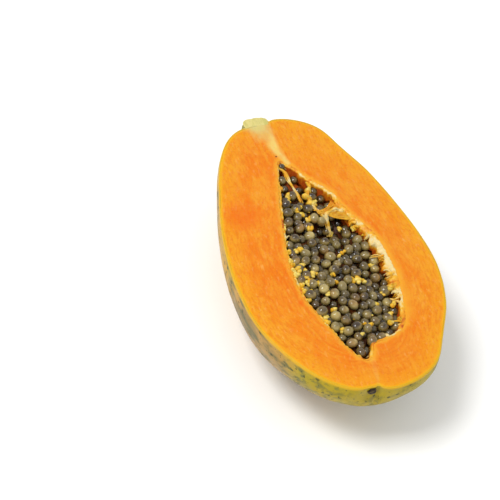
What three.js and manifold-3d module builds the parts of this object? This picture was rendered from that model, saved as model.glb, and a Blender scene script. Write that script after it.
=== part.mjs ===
// Half a ripe papaya, cut lengthwise and lying on its back with the cut face up.
// Millimetres, +Z up, +Y towards the stem. While it is modelled the cut face is at z = 0 and the
// fruit's midline at x = 0; at the end everything is moved so that the lowest point is at z = 0.
import * as THREE from 'three';
import { mergeVertices } from 'three/addons/utils/BufferGeometryUtils.js';
import Module from 'manifold-3d';

const wasm = await Module();
wasm.setup();

// Body of the fruit
const HALF_LENGTH = 95.5;
const AXIS_DEPTH = 3;            // the knife passed this far above the fruit's axis
// How full each side is, at even steps from the blossom end to the stem end. A side's half width
// is its fullness times the half width of a unit circle at the same place.
const FULL_RIGHT = [73, 60.3, 60, 58.8, 55.5, 52.3, 50.6, 50.4, 64];
const FULL_LEFT = [64, 60.8, 60, 57, 54.4, 52.2, 51, 53.6, 60];
const ROUNDNESS = 0.9;           // height of the cross-section over its width
const ROUNDNESS_SLOPE = 0.13;    // it is a little rounder towards the stem
const LOBES = 5;
const LOBE_PHASE = 0.31;         // radians, turns a groove onto the blossom scar
const LOBE_MID = 0.004;          // height of the lobes over the radius, at mid length
const LOBE_END = 0.022;          // and what the ends have more
const BODY_ROWS = 32;
const BODY_COLUMNS = 56;
const FLAT_CUT = 0.8;            // the small flat spot that it rests on

// Hollows at the two ends
const STEM_X = -8.4;
const STEM_Z = -1.5;
const STEM_HOLLOW = 2.6;
const STEM_HOLLOW_RADIUS = 10;
const SCAR_X = -6.2;
const SCAR_Z = -4.2;
const SCAR_HOLLOW = 3.6;
const SCAR_HOLLOW_RADIUS = 6.5;
const SCAR_RADIUS = 2.7;
const SCAR_HEIGHT = 1.1;
const SCAR_SIDES = 14;
const SCAR_ROWS = 8;

// Stub of the stalk, cut through with the fruit
const STUB_PROFILE = [           // its radius and its height along the stalk
  [0, -5], [3.4, -4.6], [6, -2.6], [7.4, 0.4], [7.9, 3], [7.3, 5.2], [5, 6.6], [0, 7],
];
const STUB_Y = 90.6;
const STUB_LOBES = 5;
const STUB_LOBE = 0.09;
const STUB_SIDES = 24;
const GAP = 0.3;

// Seed cavity: its edge on the cut face, clockwise from the tip by the stem
const CAVITY_EDGE = [
  [-3.6, 63], [-0.8, 59.4], [3.2, 55.6], [6.6, 48.5], [11.5, 43], [16.8, 37], [19.4, 28],
  [24, 16.5], [29.2, 6], [31.6, -6], [32.3, -20], [31, -32], [28.4, -45], [25, -56], [19, -62],
  [10.5, -65], [3.4, -66.6], [1.8, -70.5], [-1, -75], [-4.2, -75.8], [-9, -70.6], [-14.2, -58],
  [-18.6, -45], [-22.3, -32.5], [-22.9, -17], [-21.2, -1], [-18, 14], [-14.6, 30], [-10.6, 44],
  [-7.6, 54], [-5.8, 60.6],
];
const CAVITY_CENTRE = new THREE.Vector2(4, -14);
const CAVITY_DEPTH = 25;
const CAVITY_SIDES = 64;
const BOWL_ROWS = 8;
const CORE_SIDES = 36;
const CORE_ROWS = 5;
const ABOVE_FACE = 6;

// Lining at the top of the cavity wall, with its strands: thin, but a spongy layer on the right
const LINING_TOP = 0.5;
const LINING_DROP = 6.2;
const DROP_WAVES = [
  { rounds: 5, height: 0.9, phase: 0 },
  { rounds: 12, height: 0.7, phase: 1 },
];
const LINING_THIN = 0.9;
const LINING_THICK = 3.2;
const THICK_FROM = 0.05;         // where the layer on the right begins and ends, along the edge
const THICK_TO = 0.46;
const THICK_SLOPE = 0.45;        // how far its top sinks over its thickness
const THICK_WAVES = [
  { rounds: 7, height: 0.18, phase: 0 },
  { rounds: 17, height: 0.12, phase: 2 },
];
const STRAND_ROOT_Z = -2.2;
const STRAND_SIDES = 6;
const STRAND_STEPS = 12;
const STRANDS = [               // where each leaves the lining, along its edge, and its way from there
  { from: 0.985, radius: 0.8, by: [[-3.2, 55.5, -1.8], [-3, 48, -1.5], [-2, 41, -1.6], [-0.4, 33, -4]] },
  {
    from: 0.065,
    radius: 0.95,
    by: [[7, 42.6, -1.7], [4.2, 38, -1.7], [3.8, 31.6, -1.9], [6, 25, -2.3], [9, 20.5, -3.4]],
  },
  {
    from: 0.15,
    radius: 1.3,
    by: [[16.5, 23.8, -1.6], [12, 23.4, -1.6], [9.2, 21, -2.6], [9.6, 16.5, -6], [10, 13, -10]],
  },
];

// Seeds on the bed that they grow from
const BED_LEVEL = -5.4;
const BED_TILT = 0.1;            // what it sinks over each millimetre to the right
const BED_CROWN = 2.6;
const BED_CROWN_AT = [3, -32];
const BED_CROWN_WIDE = 15;
const BED_CROWN_LONG = 32;
const BED_HOLLOW = 7;
const BED_HOLLOW_AT = [8.5, 12.5];
const BED_HOLLOW_RADIUS = 8.5;
const BED_RIM_Z = -8;            // the bowl is this far below the face where the bed meets it
const BED_CLEAR = 0.3;           // from the seeds' own limit
const BED_BOTTOM = 2.4;          // from the bowl's bottom
const SEED_BOTTOM = 2.1;
const BED_RINGS = 6;
const SEED_RADIUS = 2.85;
const SEED_SPREAD = 0.3;
const SEED_LAYERS = [             // laid one after another, each lower in the gaps of those before
  { spacing: 5.5, rise: 0.75 },
  { spacing: 5, rise: 0.42 },
  { spacing: 4.9, rise: 0.1 },
];
const SEED_RISE_SPREAD = 0.14;    // rises are in radii, from the bed to the seed's centre
const SEED_FROM_LINING = 1.7;     // from the lining to a seed's centre
const SEED_TRIES = 6000;
const SEED_SEED = 20231;
const SEED_SEGMENTS = 6;
const SEED_RINGS = 4;

// Blocks that cut away what is above the knife and below the flat spot
const BLOCK_WIDE = 300;
const BLOCK_HIGH = 100;

// A small repeatable random generator
function randomFrom(seed) {
  let state = seed >>> 0;
  return () => {
    state = (state + 0x6d2b79f5) >>> 0;
    let mixed = Math.imul(state ^ (state >>> 15), 1 | state);
    mixed = (mixed + Math.imul(mixed ^ (mixed >>> 7), 61 | mixed)) ^ mixed;
    return ((mixed ^ (mixed >>> 14)) >>> 0) / 4294967296;
  };
}

// Smooth curve through evenly spaced values, for t from -1 to 1
function through(values, t) {
  const last = values.length - 1;
  const place = THREE.MathUtils.clamp((t + 1) / 2, 0, 1) * last;
  const i = Math.min(Math.floor(place), last - 1);
  const f = place - i;
  const a = values[Math.max(i - 1, 0)];
  const b = values[i];
  const c = values[i + 1];
  const d = values[Math.min(i + 2, last)];
  return b + 0.5 * f * (c - a + f * (2 * a - 5 * b + 4 * c - d + f * (3 * (b - c) + d - a)));
}

// Closed solid from rings of points, each end closed to a point
function loft(rings, first, last) {
  const count = rings[0].length;
  const positions = [];
  for (const point of [...rings.flat(), first, last]) {
    positions.push(point.x, point.y, point.z);
  }
  const firstIndex = rings.length * count;
  const lastIndex = firstIndex + 1;
  const top = (rings.length - 1) * count;
  const indices = [];
  for (let j = 0; j < count; j += 1) {
    const next = (j + 1) % count;
    indices.push(firstIndex, next, j);
    indices.push(lastIndex, top + j, top + next);
    for (let i = 0; i < rings.length - 1; i += 1) {
      const low = i * count;
      const high = low + count;
      indices.push(low + j, low + next, high + j);
      indices.push(low + next, high + next, high + j);
    }
  }
  const geometry = new THREE.BufferGeometry();
  geometry.setAttribute('position', new THREE.Float32BufferAttribute(positions, 3));
  geometry.setIndex(indices);
  return geometry;
}

// Closed band: a loop of cross-sections, each itself a closed loop of points
function band(sections) {
  const around = sections[0].length;
  const positions = sections.flat().flatMap((point) => [point.x, point.y, point.z]);
  const indices = [];
  for (let i = 0; i < sections.length; i += 1) {
    const here = i * around;
    const there = ((i + 1) % sections.length) * around;
    for (let j = 0; j < around; j += 1) {
      const next = (j + 1) % around;
      indices.push(here + j, there + j, here + next);
      indices.push(here + next, there + j, there + next);
    }
  }
  const geometry = new THREE.BufferGeometry();
  geometry.setAttribute('position', new THREE.Float32BufferAttribute(positions, 3));
  geometry.setIndex(indices);
  return geometry;
}

function signedVolume(positions, indices) {
  const a = new THREE.Vector3();
  const b = new THREE.Vector3();
  const c = new THREE.Vector3();
  let volume = 0;
  for (let i = 0; i < indices.length; i += 3) {
    a.fromArray(positions, indices[i] * 3);
    b.fromArray(positions, indices[i + 1] * 3);
    c.fromArray(positions, indices[i + 2] * 3);
    volume += a.dot(b.cross(c)) / 6;
  }
  return volume;
}

// three.js geometry to a manifold solid, its faces turned outwards
function solid(geometry) {
  const bare = geometry.clone();
  bare.deleteAttribute('normal');
  bare.deleteAttribute('uv');
  const merged = mergeVertices(bare, 1e-4);
  const vertProperties = new Float32Array(merged.attributes.position.array);
  const triVerts = new Uint32Array(merged.index.array);
  if (signedVolume(vertProperties, triVerts) < 0) {
    for (let i = 0; i < triVerts.length; i += 3) {
      [triVerts[i + 1], triVerts[i + 2]] = [triVerts[i + 2], triVerts[i + 1]];
    }
  }
  return new wasm.Manifold(new wasm.Mesh({ numProp: 3, vertProperties, triVerts }));
}

// The outer surface of the largest body, without specks or gaps closed in between seeds
function oneBody(manifold) {
  const bodies = manifold.decompose();
  return bodies.reduce((best, body) => (body.volume() > best.volume() ? body : best));
}

function namedMesh(manifold, name, look) {
  const cut = manifold.getMesh();
  const geometry = new THREE.BufferGeometry();
  geometry.setAttribute('position', new THREE.Float32BufferAttribute(cut.vertProperties, 3));
  geometry.setIndex(Array.from(cut.triVerts));
  geometry.computeVertexNormals();
  const mesh = new THREE.Mesh(geometry, new THREE.MeshStandardMaterial(look));
  mesh.name = name;
  return mesh;
}

// Wide block whose middle is at a height
function blockAt(z) {
  const geometry = new THREE.BoxGeometry(BLOCK_WIDE, BLOCK_WIDE, BLOCK_HIGH);
  geometry.translate(0, 0, z);
  return solid(geometry);
}

// Body: lobed, egg-shaped and hollowed at both ends
function hollowAt(x, z, centreX, centreZ, radius) {
  const away = (x - centreX) ** 2 + (z - centreZ) ** 2;
  return Math.exp(-away / radius ** 2);
}

function bodyPoint(t, angle) {
  const cap = Math.sqrt(Math.max(0, 1 - t * t));
  const right = through(FULL_RIGHT, t) * cap;
  const left = through(FULL_LEFT, t) * cap;
  const mean = (right + left) / 2;
  const side = (right - left) / 2;
  const lobe = 1 + (LOBE_MID + LOBE_END * t ** 6) * Math.cos(LOBES * (angle + LOBE_PHASE));
  const x = (mean + side * Math.cos(angle)) * Math.cos(angle) * lobe;
  const z = (ROUNDNESS + ROUNDNESS_SLOPE * t) * mean * Math.sin(angle) * lobe - AXIS_DEPTH;
  const stem = STEM_HOLLOW * hollowAt(x, z, STEM_X, STEM_Z, STEM_HOLLOW_RADIUS);
  const scar = SCAR_HOLLOW * hollowAt(x, z, SCAR_X, SCAR_Z, SCAR_HOLLOW_RADIUS);
  return new THREE.Vector3(x, HALF_LENGTH * t - (t > 0 ? stem : -scar), z);
}

function bodySolid() {
  const rings = [];
  for (let i = 1; i < BODY_ROWS; i += 1) {
    const t = Math.sin((i / BODY_ROWS - 0.5) * Math.PI);
    const ring = [];
    for (let j = 0; j < BODY_COLUMNS; j += 1) {
      ring.push(bodyPoint(t, (j / BODY_COLUMNS) * 2 * Math.PI));
    }
    rings.push(ring);
  }
  return solid(loft(rings, bodyPoint(-1, 0), bodyPoint(1, 0)));
}

// Edge of the cavity moved in by a margin that may change along it
function cavityEdge(marginAt, sides = CAVITY_SIDES) {
  const points = CAVITY_EDGE.map(([x, y]) => new THREE.Vector3(x, y, 0));
  const curve = new THREE.CatmullRomCurve3(points, true, 'centripetal');
  const edge = [];
  for (let i = 0; i < sides; i += 1) {
    const u = i / sides;
    const at = curve.getPointAt(u);
    const along = curve.getTangentAt(u);
    const margin = marginAt(u);
    edge.push(new THREE.Vector2(at.x + along.y * margin, at.y - along.x * margin));
  }
  return edge;
}

// A point of the cavity's bowl, straight below a point that slides from the edge to the centre
function bowlPoint(edgePoint, z, margin) {
  const scale = Math.sqrt(Math.max(0, 1 - (z / (CAVITY_DEPTH - margin)) ** 2));
  const x = CAVITY_CENTRE.x + (edgePoint.x - CAVITY_CENTRE.x) * scale;
  const y = CAVITY_CENTRE.y + (edgePoint.y - CAVITY_CENTRE.y) * scale;
  return new THREE.Vector3(x, y, z);
}

function bowlRings(edge, margin, fromAngle, rows) {
  const rings = [];
  for (let i = 0; i < rows; i += 1) {
    const angle = fromAngle + (Math.PI / 2 - fromAngle) * (i / rows);
    const z = -(CAVITY_DEPTH - margin) * Math.sin(angle);
    rings.push(edge.map((point) => bowlPoint(point, z, margin)));
  }
  return rings;
}

// Everything inside the cavity less margins from its wall and its bottom, open above the cut face
function cavitySolid(marginAt, bottomMargin) {
  const rings = bowlRings(cavityEdge(marginAt), bottomMargin, 0, BOWL_ROWS);
  rings.unshift(rings[0].map((point) => point.clone().setZ(ABOVE_FACE)));
  const top = new THREE.Vector3(CAVITY_CENTRE.x, CAVITY_CENTRE.y, ABOVE_FACE);
  const bottom = new THREE.Vector3(CAVITY_CENTRE.x, CAVITY_CENTRE.y, bottomMargin - CAVITY_DEPTH);
  return solid(loft(rings, top, bottom));
}

// Stub of the stalk, larger by `grow` for the socket that it sits in
function stubSolid(grow) {
  const profile = STUB_PROFILE.map(([radius, y]) => {
    const wide = radius > 0 ? radius + grow : 0;
    return new THREE.Vector2(wide, y + (y < 0 ? -grow : grow));
  });
  const geometry = new THREE.LatheGeometry(profile, STUB_SIDES);
  const position = geometry.attributes.position;
  for (let i = 0; i < position.count; i += 1) {
    const x = position.getX(i);
    const z = position.getZ(i);
    const swell = 1 + STUB_LOBE * Math.cos(STUB_LOBES * Math.atan2(z, x));
    position.setX(i, x * swell);
    position.setZ(i, z * swell);
  }
  geometry.translate(STEM_X, STUB_Y, STEM_Z);
  return solid(geometry);
}

function scarSolid() {
  const geometry = new THREE.SphereGeometry(1, SCAR_SIDES, SCAR_ROWS);
  geometry.scale(SCAR_RADIUS, SCAR_HEIGHT, SCAR_RADIUS);
  geometry.translate(SCAR_X, -HALF_LENGTH + SCAR_HOLLOW, SCAR_Z);
  return solid(geometry);
}

// Lining: a ragged band round the wall, and strands that leave it for the seeds
function waves(list, u) {
  return list.reduce(
    (sum, wave) => sum + wave.height * Math.sin(2 * Math.PI * wave.rounds * u + wave.phase),
    0,
  );
}

function liningThick(u) {
  const part = THREE.MathUtils.clamp((u - THICK_FROM) / (THICK_TO - THICK_FROM), 0, 1);
  const thick = THREE.MathUtils.lerp(LINING_THIN, LINING_THICK, Math.sin(Math.PI * part));
  return thick + waves(THICK_WAVES, u);
}

// What the seeds keep from the wall: the lining, with a gap on each side of it
function seedMargin(u) {
  return GAP + liningThick(u) + GAP;
}

function liningSolid() {
  const outer = cavityEdge(() => GAP);
  const inner = cavityEdge((u) => GAP + liningThick(u));
  const sections = outer.map((outside, i) => {
    const inside = inner[i];
    const u = i / CAVITY_SIDES;
    const low = -LINING_DROP - waves(DROP_WAVES, u);
    const middle = (low - LINING_TOP) / 2;
    const insideTop = -LINING_TOP - THICK_SLOPE * Math.max(0, liningThick(u) - LINING_THIN);
    return [
      bowlPoint(outside, -LINING_TOP, GAP),
      bowlPoint(outside, middle, GAP),
      bowlPoint(outside, low, GAP),
      bowlPoint(inside, low, GAP),
      bowlPoint(inside, middle, GAP),
      bowlPoint(inside, insideTop, GAP),
    ];
  });
  return solid(band(sections));
}

function strandSolid(strand, radius) {
  const root = cavityEdge((u) => GAP + liningThick(u) / 2)[Math.round(strand.from * CAVITY_SIDES)];
  const points = [new THREE.Vector3(root.x, root.y, STRAND_ROOT_Z)];
  for (const [x, y, z] of strand.by) {
    points.push(new THREE.Vector3(x, y, z));
  }
  const outline = new THREE.Shape();
  outline.absarc(0, 0, radius, 0, 2 * Math.PI);
  return solid(new THREE.ExtrudeGeometry(outline, {
    steps: STRAND_STEPS,
    curveSegments: STRAND_SIDES,
    bevelEnabled: false,
    extrudePath: new THREE.CatmullRomCurve3(points),
  }));
}

// Bed of the seeds: higher on the left, crowned towards the blossom end, hollow nearer the stem
function bedHeight(x, y) {
  const crown = Math.exp(-(((x - BED_CROWN_AT[0]) / BED_CROWN_WIDE) ** 2)
    - ((y - BED_CROWN_AT[1]) / BED_CROWN_LONG) ** 2);
  const hollow = hollowAt(x, y, BED_HOLLOW_AT[0], BED_HOLLOW_AT[1], BED_HOLLOW_RADIUS);
  const level = BED_LEVEL - BED_TILT * (x - CAVITY_CENTRE.x);
  return level + BED_CROWN * crown - BED_HOLLOW * hollow;
}

function bedSolid() {
  const edge = cavityEdge((u) => seedMargin(u) + BED_CLEAR, CORE_SIDES);
  const rings = [];
  for (let i = 1; i <= BED_RINGS; i += 1) {
    rings.push(edge.map((point) => {
      const rim = bowlPoint(point, BED_RIM_Z, BED_BOTTOM);
      const x = THREE.MathUtils.lerp(CAVITY_CENTRE.x, rim.x, i / BED_RINGS);
      const y = THREE.MathUtils.lerp(CAVITY_CENTRE.y, rim.y, i / BED_RINGS);
      return new THREE.Vector3(x, y, bedHeight(x, y));
    }));
  }
  const rimAngle = Math.asin(-BED_RIM_Z / (CAVITY_DEPTH - BED_BOTTOM));
  rings.push(...bowlRings(edge, BED_BOTTOM, rimAngle, CORE_ROWS).slice(1));
  const middle = new THREE.Vector3(CAVITY_CENTRE.x, CAVITY_CENTRE.y, 0);
  const top = middle.clone().setZ(bedHeight(middle.x, middle.y));
  return solid(loft(rings, top, middle.clone().setZ(BED_BOTTOM - CAVITY_DEPTH)));
}

function isInside(polygon, x, y) {
  let inside = false;
  for (let i = 0, j = polygon.length - 1; i < polygon.length; j = i, i += 1) {
    const a = polygon[i];
    const b = polygon[j];
    if (a.y > y !== b.y > y && x < ((b.x - a.x) * (y - a.y)) / (b.y - a.y) + a.x) {
      inside = !inside;
    }
  }
  return inside;
}

// Places for the seeds, thrown at random and kept where they don't crowd one another
function seedPlaces() {
  const random = randomFrom(SEED_SEED);
  const edge = cavityEdge((u) => GAP + liningThick(u) + SEED_FROM_LINING);
  const box = new THREE.Box2().setFromPoints(edge);
  const places = [];
  for (const layer of SEED_LAYERS) {
    for (let i = 0; i < SEED_TRIES; i += 1) {
      const x = THREE.MathUtils.lerp(box.min.x, box.max.x, random());
      const y = THREE.MathUtils.lerp(box.min.y, box.max.y, random());
      const radius = SEED_RADIUS + SEED_SPREAD * (2 * random() - 1);
      const rise = layer.rise + SEED_RISE_SPREAD * (2 * random() - 1);
      const clear = places.every((seed) => Math.hypot(seed.x - x, seed.y - y) > layer.spacing);
      if (clear && isInside(edge, x, y)) {
        places.push({ x, y, z: bedHeight(x, y) + rise * radius, radius });
      }
    }
  }
  return places;
}

function seedSolid(seed) {
  const geometry = new THREE.SphereGeometry(seed.radius, SEED_SEGMENTS, SEED_RINGS);
  geometry.rotateX(Math.PI / 2);
  geometry.rotateZ(seed.x);
  geometry.translate(seed.x, seed.y, seed.z);
  return solid(geometry);
}

// Flesh with its skin: one solid
const knife = blockAt(BLOCK_HIGH / 2);
const stub = stubSolid(0).subtract(knife);
let flesh = wasm.Manifold.union([bodySolid(), scarSolid()]).subtract(knife);
flesh = flesh.subtract(cavitySolid(() => 0, 0)).subtract(stubSolid(GAP));
const lowest = flesh.boundingBox().min[2];
flesh = flesh.subtract(blockAt(lowest + FLAT_CUT - BLOCK_HIGH / 2));

const lining = oneBody(wasm.Manifold.union([
  liningSolid(),
  ...STRANDS.map((strand) => strandSolid(strand, strand.radius)),
]).intersect(cavitySolid(() => GAP / 2, GAP / 2)));
const seedBed = wasm.Manifold.union([bedSolid(), ...seedPlaces().map(seedSolid)]);
const roomForStrands = STRANDS.map((strand) => strandSolid(strand, strand.radius + GAP));
const seeds = oneBody(seedBed
  .intersect(cavitySolid(seedMargin, SEED_BOTTOM))
  .subtract(wasm.Manifold.union(roomForStrands)));

const papaya = new THREE.Group();
papaya.add(
  namedMesh(flesh, 'flesh', { color: 0xf28a24, roughness: 0.42, metalness: 0 }),
  namedMesh(seeds, 'seeds', { color: 0x4a4232, roughness: 0.28, metalness: 0 }),
  namedMesh(lining, 'placenta', { color: 0xf0c45c, roughness: 0.5, metalness: 0 }),
  namedMesh(stub, 'stem', { color: 0xc9b860, roughness: 0.6, metalness: 0 }),
);

// The middle of the bounding box goes over the origin and its underside to z = 0
const bounds = new THREE.Box3().setFromObject(papaya);
const middle = bounds.getCenter(new THREE.Vector3());
papaya.position.set(-middle.x, -middle.y, -bounds.min.z);

export default papaya;
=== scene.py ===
"""Half a ripe papaya, cut lengthwise and lying on its back: fine surfaces, finishes, floor, light, camera.

Forms are worked out in millimetres in the fruit's own frame: the cut face at z = 0, the midline at x = 0,
+Y to the stem. `Placing` moves them to the row's frame in metres.
"""

import logging
import math
from collections.abc import Callable
from dataclasses import dataclass, field
from enum import Enum
from itertools import product

import bpy
import numpy as np
from mathutils import Matrix, Vector


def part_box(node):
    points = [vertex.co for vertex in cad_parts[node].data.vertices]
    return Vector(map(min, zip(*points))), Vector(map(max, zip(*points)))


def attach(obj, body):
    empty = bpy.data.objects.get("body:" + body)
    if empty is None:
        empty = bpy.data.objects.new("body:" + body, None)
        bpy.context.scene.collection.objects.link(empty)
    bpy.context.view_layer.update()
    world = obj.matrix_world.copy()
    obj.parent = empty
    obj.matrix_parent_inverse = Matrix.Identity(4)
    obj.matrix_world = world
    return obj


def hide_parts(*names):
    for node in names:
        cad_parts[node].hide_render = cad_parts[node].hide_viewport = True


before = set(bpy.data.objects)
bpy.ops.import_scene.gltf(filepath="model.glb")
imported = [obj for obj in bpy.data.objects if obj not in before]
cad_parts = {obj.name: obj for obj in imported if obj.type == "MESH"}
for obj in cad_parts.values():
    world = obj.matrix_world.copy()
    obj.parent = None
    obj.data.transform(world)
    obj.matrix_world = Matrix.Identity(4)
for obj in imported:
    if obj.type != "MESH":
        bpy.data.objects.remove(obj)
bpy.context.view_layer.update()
LOG = logging.getLogger("papaya")
MM = 0.001
BODY = "root"
Grid = np.ndarray
Pair = tuple[float, float]
Triple = tuple[float, float, float]
Fourfold = tuple[float, float, float, float]
Socket = bpy.types.NodeSocket
Material = bpy.types.Material
Stops = tuple[tuple[float, str], ...]
Bump = tuple[Socket, float, float]


class Slot(str, Enum):
    """The record's material slots."""

    FLESH = "flesh"
    SEEDS = "seeds"
    PLACENTA = "placenta"
    STEM = "stem"


# Numbers and noise


def through(values: tuple[float, ...], t: Grid) -> Grid:
    """Smooth curve through evenly spaced values: a cubic whose slopes come from the neighbours.

    Args:
        values: The values, from t = -1 to t = 1.
        t: Where to read the curve, from -1 to 1.

    Returns:
        The curve's value at each t.
    """
    table = np.asarray(values, float)
    last = len(table) - 1
    place = np.clip((t + 1) / 2, 0, 1) * last
    i = np.minimum(place.astype(int), last - 1)
    f = place - i
    a, b, c, d = table[np.maximum(i - 1, 0)], table[i], table[i + 1], table[np.minimum(i + 2, last)]
    return b + 0.5 * f * (c - a + f * (2 * a - 5 * b + 4 * c - d + f * (3 * (b - c) + d - a)))


def noise(points: Grid, size: float, seed: int) -> Grid:
    """Smooth random values on a lattice: eight corner values mixed by eased weights.

    Args:
        points: Places, the last axis x, y, z, in mm.
        size: The lattice's step in mm.
        seed: Which random table to use. Each pattern has its own.

    Returns:
        A value from -1 to 1 at each place.
    """
    cells = 32
    table = np.random.default_rng(seed).uniform(-1, 1, (cells, cells, cells))
    place = points / size
    base = np.floor(place).astype(int)
    part = place - base
    part = part * part * (3 - 2 * part)
    total = np.zeros(points.shape[:-1])
    for corner in product((0, 1), repeat=3):
        step = np.array(corner)
        weight = np.prod(np.where(step == 1, part, 1 - part), axis=-1)
        i, j, k = np.moveaxis((base + step) % cells, -1, 0)
        total += table[i, j, k] * weight
    return total


def random_from(seed: int) -> Callable[[], float]:
    """The same small repeatable random generator as in the part's source.

    Args:
        seed: Its first state.

    Returns:
        A function that draws the next number from 0 to 1.
    """
    mask = 0xFFFFFFFF
    state = [seed & mask]

    def draw() -> float:
        """The next number.

        Returns:
            A number from 0 to 1.
        """
        state[0] = (state[0] + 0x6D2B79F5) & mask
        mixed = ((state[0] ^ (state[0] >> 15)) * (1 | state[0])) & mask
        mixed = ((mixed + (((mixed ^ (mixed >> 7)) * (61 | mixed)) & mask)) & mask) ^ mixed
        return ((mixed ^ (mixed >> 14)) & mask) / 2**32

    return draw


def bell(x: Grid, z: Grid, centre: Pair, radius: float) -> Grid:
    """Round hollow's depth, 1 in its middle: e to the minus squared distance over squared radius."""
    return np.exp(-((x - centre[0]) ** 2 + (z - centre[1]) ** 2) / radius**2)


def raised(flat: Grid, z: Grid | float = 0.0) -> Grid:
    """Places on the cut face as x, y, z at a height."""
    return np.concatenate([flat, np.broadcast_to(z, flat.shape[:-1])[..., None]], -1)


def shaken(points: Grid, size: float, seed: int) -> Grid:
    """Noise for x, y and z, each read from its own part of one random table."""
    apart = 40.0
    return np.stack([noise(points + apart * k, size, seed) for k in range(3)], -1)


def ball(rows: int, sides: int) -> Grid:
    """A unit ball's points but for its poles: sines and cosines of the angle down and of the turn.

    Args:
        rows: Rings between the poles.
        sides: Points round each ring.

    Returns:
        The points, rows by sides.
    """
    down = np.linspace(0, math.pi, rows + 2)[1:-1, None]
    turn = np.linspace(0, 2 * math.pi, sides, endpoint=False)
    return np.stack([np.sin(down) * np.cos(turn), np.sin(down) * np.sin(turn), np.cos(down) + 0 * turn], -1)


# The fruit's form, from the same named sizes as its solids


@dataclass(frozen=True)
class FruitForm:
    """The outside of the fruit: a lobed egg, hollowed at both ends, in mm."""

    half_length: float = 95.5
    axis_depth: float = 3.0
    full_right: tuple[float, ...] = (73, 60.3, 60, 58.8, 55.5, 52.3, 50.6, 50.4, 64)
    full_left: tuple[float, ...] = (64, 60.8, 60, 57, 54.4, 52.2, 51, 53.6, 60)
    roundness: float = 0.9
    roundness_slope: float = 0.13
    lobes: int = 5
    lobe_phase: float = 0.31
    lobe_mid: float = 0.004
    lobe_end: float = 0.022
    stem_at: Pair = (-8.4, -1.5)
    stem_hollow: float = 2.6
    stem_hollow_radius: float = 10.0
    scar_at: Pair = (-6.2, -4.2)
    scar_hollow: float = 3.6
    scar_hollow_radius: float = 6.5
    furthest: float = 130.0
    halvings: int = 26

    def ratio(self, p: Grid) -> Grid:
        """How far out a place lies: 1 on the skin, less inside.

        The end hollows are undone first, which leaves the lobed ellipse across the fruit at that place. The
        ratio is the distance from the axis over the ellipse's own in that direction.

        Args:
            p: Places, the last axis x, y, z.

        Returns:
            The ratio at each place, and 2 past the ends.
        """
        x, y, z = p[..., 0], p[..., 1], p[..., 2]
        stem = self.stem_hollow * bell(x, z, self.stem_at, self.stem_hollow_radius)
        scar = self.scar_hollow * bell(x, z, self.scar_at, self.scar_hollow_radius)
        t = np.where(y > 0, y + stem, y - scar) / self.half_length
        end = 0.99999
        beyond = np.abs(t) >= end
        t = np.clip(t, -end, end)
        cap = np.sqrt(1 - t * t)
        right, left = through(self.full_right, t) * cap, through(self.full_left, t) * cap
        mean, side = (right + left) / 2, (right - left) / 2
        up = (z + self.axis_depth) / (self.roundness + self.roundness_slope * t)
        angle = np.arctan2(up, x)
        for _ in range(3):
            angle = np.arctan2(up * (mean + side * np.cos(angle)), x * mean)
        lobe = 1 + (self.lobe_mid + self.lobe_end * t**6) * np.cos(self.lobes * (angle + self.lobe_phase))
        out = np.hypot(x / (mean + side * np.cos(angle)), up / mean) / lobe
        return np.where(beyond, 2.0, out)

    def reach(self, start: Grid, way: Grid) -> Grid:
        """Distance from inside points to the skin along unit directions, found by halving.

        Args:
            start: Where each ray starts.
            way: Its unit direction.

        Returns:
            The distance along each ray.
        """
        near = np.zeros(way.shape[:-1])
        far = np.full(way.shape[:-1], self.furthest)
        for _ in range(self.halvings):
            middle = (near + far) / 2
            inside = self.ratio(start + way * middle[..., None]) < 1
            near, far = np.where(inside, middle, near), np.where(inside, far, middle)
        return (near + far) / 2


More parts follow.
